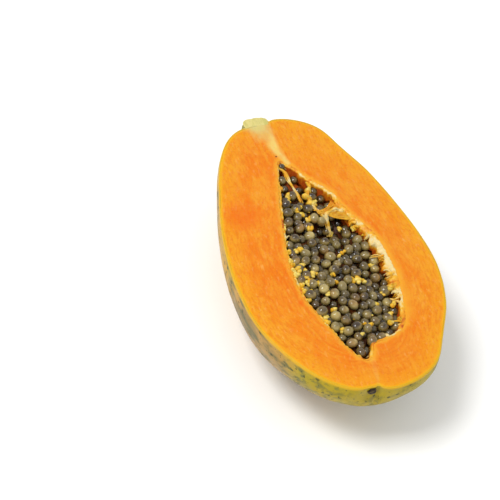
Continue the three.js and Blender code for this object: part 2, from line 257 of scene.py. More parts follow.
@dataclass(frozen=True)
class MouthForm:
    """The seed cavity: a boat-shaped mouth on the cut face, over a bowl, in mm."""

    edge: tuple[Pair, ...] = (
        (-3.6, 63), (-0.8, 59.4), (3.2, 55.6), (6.6, 48.5), (11.5, 43), (16.8, 37), (19.4, 28),
        (24, 16.5), (29.2, 6), (31.6, -6), (32.3, -20), (31, -32), (28.4, -45), (25, -56), (19, -62),
        (10.5, -65), (3.4, -66.6), (1.8, -70.5), (-1, -75), (-4.2, -75.8), (-9, -70.6), (-14.2, -58),
        (-18.6, -45), (-22.3, -32.5), (-22.9, -17), (-21.2, -1), (-18, 14), (-14.6, 30), (-10.6, 44),
        (-7.6, 54), (-5.8, 60.6),
    )
    centre: Pair = (4.0, -14.0)
    depth: float = 25.0
    span_points: int = 100
    samples: int = 64

    def dense(self) -> Grid:
        """The edge as a closed curve: a cubic between each two of its points, eased by their spacing.

        Returns:
            The curve's points, flat.
        """
        p1 = np.asarray(self.edge, float)
        p0, p2, p3 = np.roll(p1, 1, 0), np.roll(p1, -1, 0), np.roll(p1, -2, 0)
        pairs = (p0, p1), (p1, p2), (p2, p3)
        d0, d1, d2 = (np.sqrt(np.linalg.norm(b - a, axis=1))[:, None] for a, b in pairs)
        m1 = ((p1 - p0) / d0 - (p2 - p0) / (d0 + d1) + (p2 - p1) / d1) * d1
        m2 = ((p2 - p1) / d1 - (p3 - p1) / (d1 + d2) + (p3 - p2) / d2) * d1
        f = np.linspace(0, 1, self.span_points, endpoint=False)[None, :, None]
        curve = (
            p1[:, None] * (2 * f**3 - 3 * f**2 + 1) + m1[:, None] * (f**3 - 2 * f**2 + f)
            + p2[:, None] * (3 * f**2 - 2 * f**3) + m2[:, None] * (f**3 - f**2)
        )
        return curve.reshape(-1, 2)

    def along(self, count: int) -> tuple[Grid, Grid]:
        """Points evenly along the edge, from the tip by the stem.

        Args:
            count: How many.

        Returns:
            The points and the unit directions into the cavity.
        """
        curve = self.dense()
        closed = np.vstack([curve, curve[:1]])
        length = np.concatenate([[0], np.cumsum(np.linalg.norm(np.diff(closed, axis=0), axis=1))])
        at = np.linspace(0, length[-1], count, endpoint=False)
        step = 0.2
        points, ahead, behind = (
            np.stack([np.interp(place % length[-1], length, closed[:, k]) for k in (0, 1)], -1)
            for place in (at, at + step, at - step)
        )
        way = ahead - behind
        way /= np.linalg.norm(way, axis=1)[:, None]
        return points, np.stack([way[:, 1], -way[:, 0]], -1)

    def radius(self, turn: Grid) -> Grid:
        """Distance from the centre to the edge in each direction, read off the dense curve.

        Args:
            turn: Directions round the centre.

        Returns:
            The distance in each.
        """
        away = self.dense() - np.array(self.centre)
        angle = np.arctan2(away[:, 1], away[:, 0])
        order = np.argsort(angle)
        return np.interp(turn, angle[order], np.linalg.norm(away, axis=1)[order], period=2 * math.pi)

    @staticmethod
    def ragged(edge: Grid) -> Grid:
        """How far the cut edge strays outwards, in mm: coarse and fine noise."""
        return 0.1 + 0.4 * noise(edge, 2.6, 13) + 0.3 * noise(edge, 1.1, 14)

    def bowl(self, edge: Grid, z: Grid, margin: float = 0.0) -> Grid:
        """Points on the bowl's wall below edge points, slid to the centre as the bowl draws in.

        The slide is the square root of 1 less the squared part of the depth.

        Args:
            edge: The edge points, flat.
            z: How high each of them goes on the wall.
            margin: How much shallower the bowl is made.

        Returns:
            The points.
        """
        centre = np.array(self.centre)
        slide = np.sqrt(np.clip(1 - (z / (self.depth - margin)) ** 2, 0, 1))
        return raised(centre + (edge - centre) * slide[..., None], z)


@dataclass(frozen=True)
class LiningForm:
    """The lining of the cavity's mouth: thin, but a spongy layer on the right, in mm."""

    gap: float = 0.3
    top: float = 0.5
    drop: float = 6.2
    thin: float = 0.9
    thick: float = 3.2
    thick_from: float = 0.05
    thick_to: float = 0.46
    slope: float = 0.45

    def layer(self, u: Grid) -> Grid:
        """How far the spongy layer has grown, 0 to 1: half a sine between its two ends along the edge."""
        return np.sin(math.pi * np.clip((u - self.thick_from) / (self.thick_to - self.thick_from), 0, 1))

    def thickness(self, u: Grid) -> Grid:
        """Thickness at a part of the way along the edge: thin to thick by the layer, with two waves.

        Args:
            u: Parts of the way, from 0 to 1.

        Returns:
            The thickness at each.
        """
        turn = 2 * math.pi * u
        waves = 0.18 * np.sin(7 * turn) + 0.12 * np.sin(17 * turn + 2)
        return self.thin + (self.thick - self.thin) * self.layer(u) + waves

    def foot(self, u: Grid) -> Grid:
        """How deep it reaches: a level with two waves."""
        turn = 2 * math.pi * u
        return self.drop + 0.9 * np.sin(5 * turn) + 0.7 * np.sin(12 * turn + 1)


@dataclass(frozen=True)
class Placing:
    """Moves the fruit's own frame to the row's frame."""

    shift: Triple

    @staticmethod
    def from_solids(form: FruitForm) -> "Placing":
        """Reads the move off the flesh solid's box.

        Args:
            form: The fruit's form, whose widest and longest reach match that box.

        Returns:
            The placing.
        """
        low, high = (np.array(corner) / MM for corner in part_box("flesh"))
        quarter_degrees = 1440
        turn = np.linspace(-math.pi, math.pi, quarter_degrees + 1)
        way = np.stack([np.cos(turn), np.sin(turn), 0 * turn], -1)
        rim = way * form.reach(np.zeros_like(way), way)[:, None]
        across = (low[0] + high[0] - rim[:, 0].min() - rim[:, 0].max()) / 2
        ends = (low[1] + high[1] - rim[:, 1].min() - rim[:, 1].max()) / 2
        return Placing((across, ends, high[2]))

    def to_row(self, points: Grid) -> Grid:
        """Millimetres in the fruit's frame to metres in the row's."""
        return (points + np.array(self.shift)) * MM


# Meshes


@dataclass
class Surface:
    """A mesh in numbers, in mm in the fruit's frame, with a value or colour for each vertex."""

    points: Grid
    quads: Grid
    tris: Grid
    values: dict[str, Grid] = field(default_factory=dict)

    def outward(self) -> "Surface":
        """Turns the faces round if the volume they close, summed from the origin, is negative.

        Returns:
            The same surface.
        """
        faces = np.concatenate([self.quads[:, [0, 1, 2]], self.quads[:, [0, 2, 3]], self.tris])
        a, b, c = (self.points[faces[:, k]] for k in range(3))
        if np.einsum("ij,ij->i", a, np.cross(b, c)).sum() < 0:
            self.quads, self.tris = self.quads[:, ::-1], self.tris[:, ::-1]
        return self


def lofted(rings: Grid, first: Grid, last: Grid) -> Surface:
    """Closed bodies from rings of points, each end closed to a point.

    Args:
        rings: Bodies, rings, points round, x y z.
        first: The point that closes each body before its first ring.
        last: The point that closes it after its last ring.

    Returns:
        All the bodies as one surface. Its points are ring by ring, then the two ends, body by body.
    """
    bodies, rows, count, _ = rings.shape
    step = rows * count + 2
    j = np.arange(count)
    after = (j + 1) % count
    i = np.arange(rows - 1)[:, None] * count
    quads = np.stack([i + j, i + after, i + count + after, i + count + j], -1).reshape(-1, 4)
    top = (rows - 1) * count
    start, end = np.full(count, step - 2), np.full(count, step - 1)
    tris = np.concatenate([np.stack([start, after, j], -1), np.stack([end, top + j, top + after], -1)])
    offset = (np.arange(bodies) * step)[:, None, None]
    points = np.concatenate([rings.reshape(bodies, -1, 3), first[:, None], last[:, None]], 1).reshape(-1, 3)
    return Surface(points, (quads + offset).reshape(-1, 4), (tris + offset).reshape(-1, 3))


def banded(sections: Grid) -> Surface:
    """A closed band: a loop of cross-sections, each a closed loop of points.

    Args:
        sections: Sections, points round each, x y z.

    Returns:
        The band, its points section by section.
    """
    count, around, _ = sections.shape
    i = np.arange(count)[:, None] * around
    ahead = ((np.arange(count) + 1) % count)[:, None] * around
    j = np.arange(around)
    after = (j + 1) % around
    quads = np.stack([i + j, ahead + j, ahead + after, i + after], -1).reshape(-1, 4)
    return Surface(sections.reshape(-1, 3), quads, np.zeros((0, 3), int))


def tubes(paths: Grid, radii: Grid, sides: int) -> Surface:
    """Closed tubes: a circle of each radius carried along each path, square to it.

    Args:
        paths: Tubes, points along, x y z.
        radii: Tubes, points along.
        sides: Points round each circle.

    Returns:
        All the tubes as one surface.
    """
    way = np.gradient(paths, axis=1)
    way /= np.linalg.norm(way, axis=-1, keepdims=True)
    nearly_up = np.array([0.13, 0.05, 1.0])
    side = np.cross(way, nearly_up)
    side /= np.linalg.norm(side, axis=-1, keepdims=True)
    over = np.cross(side, way)
    turn = np.linspace(0, 2 * math.pi, sides, endpoint=False)[None, None, :, None]
    circle = side[:, :, None] * np.cos(turn) + over[:, :, None] * np.sin(turn)
    rings = paths[:, :, None] + circle * radii[:, :, None, None]
    tip = 0.6 * radii[:, [0, -1]][..., None]
    first = paths[:, 0] - way[:, 0] * tip[:, 0]
    last = paths[:, -1] + way[:, -1] * tip[:, 1]
    return lofted(rings, first, last)


def random_turns(rng: np.random.Generator, count: int) -> Grid:
    """Rotation matrices from random unit quaternions.

    Args:
        rng: The random source.
        count: How many.

    Returns:
        The matrices, one for each.
    """
    q = rng.normal(size=(count, 4))
    w, x, y, z = (q / np.linalg.norm(q, axis=1, keepdims=True)).T
    return np.array([
        [1 - 2 * (y * y + z * z), 2 * (x * y - w * z), 2 * (x * z + w * y)],
        [2 * (x * y + w * z), 1 - 2 * (x * x + z * z), 2 * (y * z - w * x)],
        [2 * (x * z - w * y), 2 * (y * z + w * x), 1 - 2 * (x * x + y * y)],
    ]).transpose(2, 0, 1)


def joined(*surfaces: Surface) -> Surface:
    """Several surfaces as one, keeping the values that all of them hold.

    Args:
        surfaces: The surfaces.

    Returns:
        The one surface.
    """
    start = np.cumsum([0] + [len(s.points) for s in surfaces[:-1]])
    names = set.intersection(*(set(s.values) for s in surfaces))
    return Surface(
        np.concatenate([s.points for s in surfaces]),
        np.concatenate([s.quads + at for s, at in zip(surfaces, start)]),
        np.concatenate([s.tris + at for s, at in zip(surfaces, start)]),
        {name: np.concatenate([s.values[name] for s in surfaces]) for name in names},
    )


def make_piece(name: str, surface: Surface, placing: Placing, finish: Material) -> bpy.types.Object:
    """Puts a surface into the scene as one smooth piece.

    Args:
        name: The piece's name.
        surface: Its surface in mm.
        placing: Where the fruit's frame lies in the row's.
        finish: Its material.

    Returns:
        The new object, at the origin.
    """
    mesh = bpy.data.meshes.new(name)
    mesh.vertices.add(len(surface.points))
    mesh.vertices.foreach_set("co", placing.to_row(surface.points).astype(np.float32).ravel())
    corners = np.concatenate([surface.quads.ravel(), surface.tris.ravel()]).astype(np.int32)
    totals = np.concatenate([np.full(len(surface.quads), 4), np.full(len(surface.tris), 3)]).astype(np.int32)
    starts = np.concatenate([[0], np.cumsum(totals)[:-1]]).astype(np.int32)
    mesh.loops.add(len(corners))
    mesh.loops.foreach_set("vertex_index", corners)
    mesh.polygons.add(len(totals))
    mesh.polygons.foreach_set("loop_start", starts)
    mesh.polygons.foreach_set("loop_total", totals)
    mesh.polygons.foreach_set("use_smooth", np.ones(len(totals), bool))
    mesh.update(calc_edges=True)
    for key, values in surface.values.items():
        held = mesh.attributes.new(key, "FLOAT", "POINT")
        held.data.foreach_set("value", values.astype(np.float32).ravel())
    mesh.validate()
    mesh.materials.append(finish)
    piece = bpy.data.objects.new(name, mesh)
    bpy.context.scene.collection.objects.link(piece)
    return piece


def settle(piece: bpy.types.Object, slot: Slot, *nodes: str) -> None:
    """Attaches a piece to the body that it rides on, hides the nodes that it stands for, and logs its faces.

    Args:
        piece: The piece.
        slot: Not used.
        nodes: The CAD nodes that it replaces, if any.
    """
    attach(piece, BODY)
    if nodes:
        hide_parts(*nodes)
    LOG.info("%s: %d faces", piece.name, len(piece.data.polygons))


# Finishes


def linear(colour: str) -> tuple[float, float, float, float]:
    """An sRGB hex colour as linear red, green, blue and alpha."""
    parts = (int(colour[k:k + 2], 16) / 255 for k in (1, 3, 5))
    return (*(c / 12.92 if c <= 0.04045 else ((c + 0.055) / 1.055) ** 2.4 for c in parts), 1.0)


class Node(Enum):
    """The kinds of node: each one's type, its settings, its inputs in order, and its output."""

    PLACE = "TexCoord", {}, (), "Object"
    HELD = "Attribute", {}, (), "Fac"
    STRETCHED = "Mapping", {}, ("Vector", "Scale"), 0
    NOISE = "TexNoise", {}, ("Vector", "Scale", "Detail", "Roughness"), 0
    CELLS = "TexVoronoi", {}, ("Vector", "Scale"), "Distance"
    RED = "SeparateColor", {}, (0,), 0
    ALONG = "SeparateXYZ", {}, (0,), 1
    UP = "SeparateXYZ", {}, (0,), 2
    VECTOR = "CombineXYZ", {}, (0, 1, 2), 0
    AWAY = "VectorMath", {"operation": "DISTANCE"}, (0, 1), "Value"
    SHIFTED = "VectorMath", {"operation": "MULTIPLY_ADD"}, (0, 1, 2), 0
    PLUS = "Math", {"operation": "ADD"}, (0, 1), 0
    LESS = "Math", {"operation": "SUBTRACT"}, (0, 1), 0
    TIMES = "Math", {"operation": "MULTIPLY"}, (0, 1), 0
    MOST = "Math", {"operation": "MAXIMUM"}, (0, 1), 0
    EASE = "MapRange", {"interpolation_type": "SMOOTHSTEP"}, (0, 1, 2, 3, 4), 0
    BLEND = "Mix", {}, (0, 2, 3), 0
    MIX = "Mix", {"data_type": "RGBA"}, (0, 6, 7), 2
    RAMP = "ValToRGB", {}, (0,), 0
    BUMP = "Bump", {}, ("Height", "Distance", "Strength", "Normal"), 0
    SHADER = "BsdfPrincipled", {}, (
        "Base Color", "Roughness", "IOR", "Specular IOR Level", "Coat Weight", "Coat Roughness",
        "Subsurface Weight", "Subsurface Radius", "Subsurface Scale", "Normal",
    ), 0
    SURFACE = "OutputMaterial", {}, ("Surface",), None


@dataclass(frozen=True)
class Shine:
    """The shader's constants: its IOR, its reflection, its coat, and how far it lets light in, in mm."""

    ior: float
    specular: float = 0.5
    coat: float = 0.0
    coat_rough: float = 0.03
    lets_in: float = 0.0
    tint: Triple = (1.0, 0.2, 0.1)
    scatter_mm: float = 50.0

    def values(self) -> tuple[float | Triple, ...]:
        """The constants in the order of the shader's inputs."""
        inside = self.lets_in, self.tint, self.scatter_mm * MM
        return self.ior, self.specular, self.coat, self.coat_rough, *inside


class Finish:
    """What every finish shares: a node tree with its coordinates, and ways to lay colours on one another."""

    name: str = "finish"
    grain_roughness: float = 0.55

    def start(self) -> None:
        """Makes the material and its coordinate node."""
        self.material = bpy.data.materials.new(self.name)
        self.material.use_nodes = True
        self.tree = self.material.node_tree
        self.tree.nodes.clear()
        self.place = self.add(Node.PLACE)

    def add(self, node: Node, *inputs: object, stops: Stops = (), **settings: object) -> Socket | None:
        """Adds one node.

        Args:
            node: Its kind.
            inputs: What goes into its inputs in order: a socket to link, a number, a vector or a hex colour.
            stops: A ramp's places and hex colours.
            settings: Other properties of the node.

        Returns:
            The output socket of that kind, which leads to the node's others, or None if it has no output.
        """
        kind, fixed, keys, output = node.value
        made = self.tree.nodes.new("ShaderNode" + kind)
        for name, setting in {**fixed, **settings}.items():
            setattr(made, name, setting)
        for key, item in zip(keys, inputs):
            if isinstance(item, Socket):
                self.tree.links.new(item, made.inputs[key])
            else:
                made.inputs[key].default_value = linear(item) if isinstance(item, str) else item
        # A new ramp has two stops already
        for _ in stops[2:]:
            made.color_ramp.elements.new(0.5)
        for index, (place, colour) in enumerate(stops):
            made.color_ramp.elements[index].position = place
            made.color_ramp.elements[index].color = linear(colour)
        return None if output is None else made.outputs[output]

    def grain(self, size: float, detail: float = 2.0, stretch: Triple = (1, 1, 1)) -> Socket:
        """Noise whose lumps are `size` mm across, drawn out by `stretch` along each axis."""
        stretched = self.add(Node.STRETCHED, self.place, tuple(1 / s for s in stretch))
        return self.add(Node.NOISE, stretched, 0.5 / (size * MM), detail, self.grain_roughness)

    def near(self, centre: Triple, radius: float, soft: float, strength: float = 1.0) -> Socket:
        """A strength within `radius` mm of a place, eased to 0 over `soft` mm."""
        away = self.add(Node.AWAY, self.place, centre)
        return self.add(Node.EASE, away, radius * MM, (radius + soft) * MM, strength, 0.0)

    def layered(self, colour: Socket | str, *layers: tuple[Socket, Socket | str]) -> Socket:
        """Colours laid over the first one in turn, each as strong as its own amount.

        Args:
            colour: The ground, a socket or a hex colour.
            layers: For each layer its amount and its colour, the lowest one first.

        Returns:
            The last colour.
        """
        for amount, over in layers:
            colour = self.add(Node.MIX, amount, colour, over)
        return colour

    def shade(self, colour: Socket, rough: Socket, shine: Shine, *bumps: Bump) -> Material:
        """Joins colour, roughness and bumps to the shader.

        Args:
            colour: The base colour.
            rough: The roughness.
            shine: The shader's constants.
            bumps: Heights, each with its depth in mm and its strength, the lowest one first.

        Returns:
            The finished material.
        """
        normal = ()
        for height, depth, strength in bumps:
            normal = (self.add(Node.BUMP, height, depth * MM, strength, *normal),)
        self.add(Node.SURFACE, self.add(Node.SHADER, colour, rough, *shine.values(), *normal))
        return self.material


@dataclass
class WaxySkin(Finish):
    """Ripe papaya skin: a thin waxy peel, yellow over green, with oil flecks, streaks and rubbed patches.

    It gives the eye a dull sheen that never mirrors, and a little light comes through it.
    """

    name: str = "papaya_skin"
    ripe: str = "#C69212"
    tan: str = "#B88E38"
    turning: str = "#A3931C"
    green: str = "#6C7A26"
    streak: str = "#525C30"
    dull: str = "#645F3C"
    fleck: str = "#333A16"
    rubbed: str = "#AA8450"
    tip: str = "#A4920C"
    edge: str = "#D2A21C"
    stalk_green: str = "#C6B670"
    stalk: Triple = (0.0, 0.0, 0.0)
    cheek: Triple = (0.0, 0.0, 0.0)
    fleck_mm: float = 3.6
    wobble_mm: float = 1.8
    wobbles_per_mm: float = 0.7
    face_height: float = 0.0519
    shine: Shine = Shine(1.45, 0.18, 0.04, 0.3, 0.1, (1.0, 0.55, 0.2), 2.0)

    def flecks(self) -> Socket:
        """Oil flecks of two sizes: in each cell a spot as wide as the cell's own chance, with wavy sides.

        Returns:
            1 in a fleck and 0 beside it.
        """
        wobble = self.add(Node.NOISE, self.place, self.wobbles_per_mm / MM, 2.0, 0.5).node.outputs["Color"]
        moved = self.add(Node.SHIFTED, wobble, (self.wobble_mm * MM,) * 3, self.place)
        masks = []
        for size, softness, reach, strength in ((1.0, 0.1, 0.36, 1.0), (0.5, 0.06, 0.3, 0.8)):
            away = self.add(Node.CELLS, moved, 1 / (size * self.fleck_mm * MM))
            chance = self.add(Node.RED, away.node.outputs["Color"])
            wide = self.add(Node.EASE, chance, 0.0, 1.0, 0.0, reach)
            masks.append(self.add(Node.EASE, self.add(Node.LESS, wide, away), 0.0, softness, 0.0, strength))
        crowd = self.add(Node.EASE, self.grain(19, 2), 0.34, 0.56, 0.4, 1.0)
        return self.add(Node.TIMES, self.add(Node.MOST, *masks), crowd)

    def make(self) -> Material:
        """Patches of yellow and green, long streaks and flecks over them, and a bright edge at the cut.

        Returns:
            The material.
        """
        self.start()
        along, up = self.add(Node.ALONG, self.place), self.add(Node.UP, self.place)
        coarse = self.add(Node.TIMES, self.grain(26, 3), 0.6)
        amount = self.add(Node.PLUS, coarse, self.add(Node.TIMES, self.grain(60, 1), 0.4))
        ground = self.add(Node.RAMP, amount, stops=(
            (0.36, self.tan), (0.47, self.ripe), (0.56, self.turning), (0.68, self.green),
        ))
        patches = self.add(Node.EASE, self.grain(11, 3, (1, 3, 1)), 0.46, 0.6, 0.0, 0.5)
        rubbed = self.add(Node.MOST, patches, self.near(self.cheek, 18.0, 24.0, 0.85))
        blossom = self.add(Node.EASE, along, -90 * MM, -62 * MM, 0.85, 0.0)
        bare = self.add(Node.EASE, self.grain(6, 4, (1, 2.5, 1)), 0.46, 0.6)
        worn = self.add(Node.TIMES, self.near(self.cheek, 24.0, 22.0, 0.55), bare)
        bands = self.add(Node.EASE, self.grain(11, 3, (1, 2.2, 1)), 0.38, 0.58, 0.2, 0.9)
        gathered = self.add(Node.MOST, bands, self.near(self.cheek, 26.0, 20.0, 0.9))
        fewer = self.add(Node.EASE, along, -90 * MM, -66 * MM, 0.65, 1.0)
        streaks = self.add(Node.EASE, self.grain(1.8, 5, (1, 5, 1)), 0.45, 0.62)
        streaks = self.add(Node.TIMES, streaks, self.add(Node.TIMES, gathered, fewer))
        flecks = self.flecks()
        rim = self.add(Node.EASE, up, self.face_height - 1.7 * MM, self.face_height - 0.3 * MM, 0.0, 0.85)
        colour = self.layered(
            ground,
            (rubbed, self.rubbed),
            (blossom, self.tip),
            (worn, self.dull),
            (streaks, self.add(Node.MIX, rubbed, self.streak, self.dull)),
            (self.add(Node.TIMES, flecks, 0.85), self.fleck),
            (rim, self.edge),
            (self.near(self.stalk, 6.0, 3.5), self.stalk_green),
        )
        rough = self.add(Node.EASE, self.grain(3, 3), 0.3, 0.7, 0.36, 0.52)
        return self.shade(colour, rough, self.shine, (self.grain(1.1, 2), 0.12, 0.35), (flecks, 0.15, 0.3))


@dataclass
class RipeFlesh(Finish):
    """Cut papaya flesh: soft, moist and orange, with paler fibres along the fruit and a yellow edge.

    It gives the eye a wet glint on each fibre, partly painted in as pale highlights, and light that sinks in
    and comes back redder.
    """

    name: str = "papaya_flesh"
    body: str = "#D8780C"
    light: str = "#DA9022"
    outer: str = "#DA9414"
    inner: str = "#D66E0A"
    red: str = "#D65C08"
    # Painted shade: the dark red laid on the cavity wall, more the deeper it goes
    deep: str = "#A93C0C"
    under_skin: str = "#DCA014"
    mouth: str = "#DB9B28"
    vein: str = "#D8BC68"
    # Painted highlight: the pale colour of small wet glints on the cut face
    painted_glint: str = "#E2A45C"
    dark: str = "#CC620A"
    stalk_green: str = "#C6B670"
    # Painted shade: a tiny hole by the cavity's tip, shown only as a dark spot
    pit_shade: str = "#4A2A10"
    stalk: Triple = (0.0, 0.0, 0.0)
    shoulder: Triple = (0.0, 0.0, 0.0)
    pit: Triple = (0.0, 0.0, 0.0)
    bruise: Triple = (0.0, 0.0, 0.0)
    flush: Triple = (0.0, 0.0, 0.0)
    pale_side: Triple = (0.0, 0.0, 0.0)
    shine: Shine = Shine(1.38, 0.18, 0.05, 0.2, 0.2, (1.0, 0.4, 0.12), 1.5)

    def fibres(self, size: float, longer: float, beside_skin: Socket, ends: Socket) -> Socket:
        """Fibres of `size` mm that run beside the skin, and straight along the fruit where `ends` is 1.

        Args:
            size: How wide they are in mm.
            longer: How many times longer than wide.
            beside_skin: Coordinates whose first one is the distance to the skin.
            ends: Where they run straight.

        Returns:
            The pattern, from 0 to 1.
        """
        straight, self.place = self.place, beside_skin
        bent = self.grain(size, 4, (1, longer, 1))
        self.place = straight
        return self.add(Node.BLEND, ends, bent, self.grain(size, 4, (1, longer, 1)))

    def lip(self, near_seeds: Socket) -> Socket:
        """The pale torn lip of the mouth, which reaches further out on its pale side.

        Args:
            near_seeds: The distance to the mouth in mm.

        Returns:
            How strong it is.
        """
        torn = self.add(Node.LESS, near_seeds, self.add(Node.TIMES, self.grain(2.4, 3), 3.6))
        narrow = self.add(Node.EASE, torn, -1.6, 1.4, 0.8, 0.0)
        wide = self.add(Node.EASE, torn, -1.5, 4.0, 0.8, 0.0)
        wide = self.add(Node.TIMES, wide, self.near(self.pale_side, 22.0, 14.0))
        return self.add(Node.MOST, narrow, wide)

    def veined(self) -> Socket:
        """Where the pale veins show: clouded, but solid by the stalk.

        Returns:
            How strong they are.
        """
        cloudy = self.add(Node.EASE, self.grain(2.6, 3, (1, 2.5, 1)), 0.3, 0.62, 0.95, 0.5)
        solid = self.add(Node.MOST, cloudy, self.near(self.stalk, 2.0, 13.0))
        return self.add(Node.TIMES, self.add(Node.HELD, attribute_name="vein"), solid)

    def make(self) -> Material:
        """Mottling, fibres that follow the skin, specks, painted highlights and painted shade, banded by how
        far skin and cavity are.

        Returns:
            The material.
        """
        self.start()
        near_skin = self.add(Node.HELD, attribute_name="rim_mm")
        near_seeds = self.add(Node.HELD, attribute_name="bore_mm")
        along, up = self.add(Node.ALONG, self.place), self.add(Node.UP, self.place)
        beside_skin = self.add(Node.VECTOR, self.add(Node.TIMES, near_skin, MM), along, up)
        at_stalk = self.add(Node.EASE, along, 30 * MM, 60 * MM)
        at_tip = self.add(Node.EASE, along, -85 * MM, -60 * MM, 0.6, 0.0)
        ends = self.add(Node.MOST, at_stalk, at_tip)
        fibre, fine = self.fibres(1.3, 5, beside_skin, ends), self.fibres(0.6, 3.5, beside_skin, ends)
        patches = self.add(Node.EASE, self.grain(9, 2), 0.55, 0.66, 0.0, 0.45)
        # Painted highlight: where pale wet glints lie along the fibres
        glint_wisps = self.add(Node.TIMES, self.add(Node.EASE, fibre, 0.6, 0.7), patches)
        pale = self.add(Node.MIX, self.near(self.stalk, 7.0, 9.0), self.vein, self.stalk_green)
        colour = self.layered(
            self.body,
            (self.add(Node.EASE, self.grain(4.5, 4, (1, 1.8, 1)), 0.4, 0.62), self.light),
            (self.add(Node.EASE, self.grain(19, 2, (1, 1.6, 1)), 0.4, 0.6, 0.0, 0.55), self.inner),
            (self.near(self.shoulder, 8.0, 34.0, 0.55), self.outer),
            (self.add(Node.EASE, near_skin, 2.0, 15.0, 0.7, 0.0), self.outer),
            (self.add(Node.EASE, near_seeds, 0.5, 11.0, 0.65, 0.0), self.inner),
            (self.add(Node.EASE, fibre, 0.44, 0.64, 0.0, 0.6), self.light),
            (self.add(Node.EASE, fine, 0.46, 0.64, 0.0, 0.42), self.dark),
            # Painted highlights: pale wet glints as short dashes
            (self.add(Node.EASE, self.grain(0.7, 2, (1, 3, 1)), 0.56, 0.72, 0.0, 0.3), self.painted_glint),
            (self.add(Node.EASE, self.grain(0.7, 1), 0.3, 0.42, 0.4, 0.0), self.dark),
            # Painted highlights: pale wet glints as wisps along the fibres
            (glint_wisps, self.painted_glint),
            (self.near(self.flush, 3.0, 13.0, 0.6), self.red),
            (self.near(self.bruise, 0.6, 2.6, 0.8), self.red),
            (self.add(Node.EASE, near_skin, 0.9, 2.6, 0.9, 0.0), self.under_skin),
            (self.lip(near_seeds), self.mouth),
            (self.veined(), pale),
            # Painted shade down the cavity wall
            (self.add(Node.HELD, attribute_name="deep"), self.deep),
            # Painted shade: the tiny hole by the tip as a dark spot
            (self.near(self.pit, 0.35, 0.35, 0.9), self.pit_shade),
        )
        wet = self.add(Node.EASE, self.grain(3.5, 3), 0.38, 0.62, 0.24, 0.46)
        return self.shade(colour, wet, self.shine, (self.grain(0.7, 2), 0.16, 0.5), (fibre, 0.3, 0.4))


@dataclass
class SeedCoat(Finish):
    """Papaya seeds: dark and wrinkled under a clear olive jelly coat.

    They give the eye a small sharp highlight each, from the wet coat, over a soft dark middle.
    """

    name: str = "papaya_seed"
    dark: str = "#2E1E0E"
    olive: str = "#988144"
    grey: str = "#C4B06C"
    amber: str = "#94641E"
    # Painted shade: the near black laid on seeds low in the heap and towards the stalk end
    painted_shade_dark: str = "#1B1107"
    shine: Shine = Shine(1.42, 0.4, 0.8, 0.08, 0.25, (1.0, 0.8, 0.45), 1.5)

    def make(self) -> Material:
        """Each seed has its own tone, and the dark seed inside shows through the top of its jelly. Painted
        shade darkens the seeds low in the heap and towards the stalk end.

        Returns:
            The material.
        """
        self.start()
        tone = self.add(Node.HELD, attribute_name="tone")
        core = self.add(Node.HELD, attribute_name="core")
        shown = self.add(Node.TIMES, core, self.add(Node.EASE, tone, 0.0, 1.0, 1.0, 0.5))
        cloud = self.add(Node.EASE, self.grain(2.2, 3), 0.4, 0.6)
        depth = self.add(Node.TIMES, self.add(Node.EASE, cloud, 0.0, 1.0, 0.75, 1.0), shown)
        colour = self.layered(
            self.olive,
            (tone, self.grey),
            (self.add(Node.EASE, self.grain(5, 2), 0.5, 0.64, 0.0, 0.6), self.amber),
            (depth, self.dark),
            # Painted shade, as strong as the seeds' low value
            (self.add(Node.TIMES, self.add(Node.HELD, attribute_name="low"), 0.92), self.painted_shade_dark),
        )
        rough = self.add(Node.EASE, self.grain(1.4, 2), 0.3, 0.7, 0.1, 0.2)
        return self.shade(colour, rough, self.shine, (self.grain(0.8, 2), 0.15, 0.3))


@dataclass
class PulpLining(Finish):
    """Placenta: soft moist fibre, cream where thick, and yellow to red-orange where flesh shows through, and
    deeper in the cavity as painted shade.

    It gives the eye a matt, spongy look with a faint wet sheen, and lets light through.
    """

    name: str = "papaya_placenta"
    cream: str = "#D8C48C"
    yellow: str = "#D9A52C"
    amber: str = "#D28412"
    red: str = "#A9480F"
    fibre_mm: float = 0.7
    fibre_stretch: Triple = (1, 1, 5)
    gloss: float = 0.3

    def make(self) -> Material:
        """Cream, yellow and amber by how thin it is, with painted shade in that value on the lining,
        clouded, and drawn out in fibres.

        Returns:
            The material.
        """
        self.start()
        fibre, cloud = self.grain(self.fibre_mm, 3, self.fibre_stretch), self.grain(3.0, 3)
        shift = self.add(Node.PLUS, self.add(Node.TIMES, fibre, 0.3), self.add(Node.TIMES, cloud, 0.9))
        thin = self.add(Node.HELD, attribute_name="thin")
        colour = self.add(Node.RAMP, self.add(Node.PLUS, self.add(Node.LESS, shift, 0.6), thin), stops=(
            (0.12, self.cream), (0.42, self.yellow), (0.72, self.amber), (1.0, self.red),
        ))
        rough = self.add(Node.EASE, cloud, 0.3, 0.7, 0.3, 0.48)
        shine = Shine(1.38, self.gloss, self.gloss / 3, 0.2, 0.3, (1.0, 0.7, 0.3), 2.0)
        return self.shade(colour, rough, shine, (fibre, 0.35, 0.7))


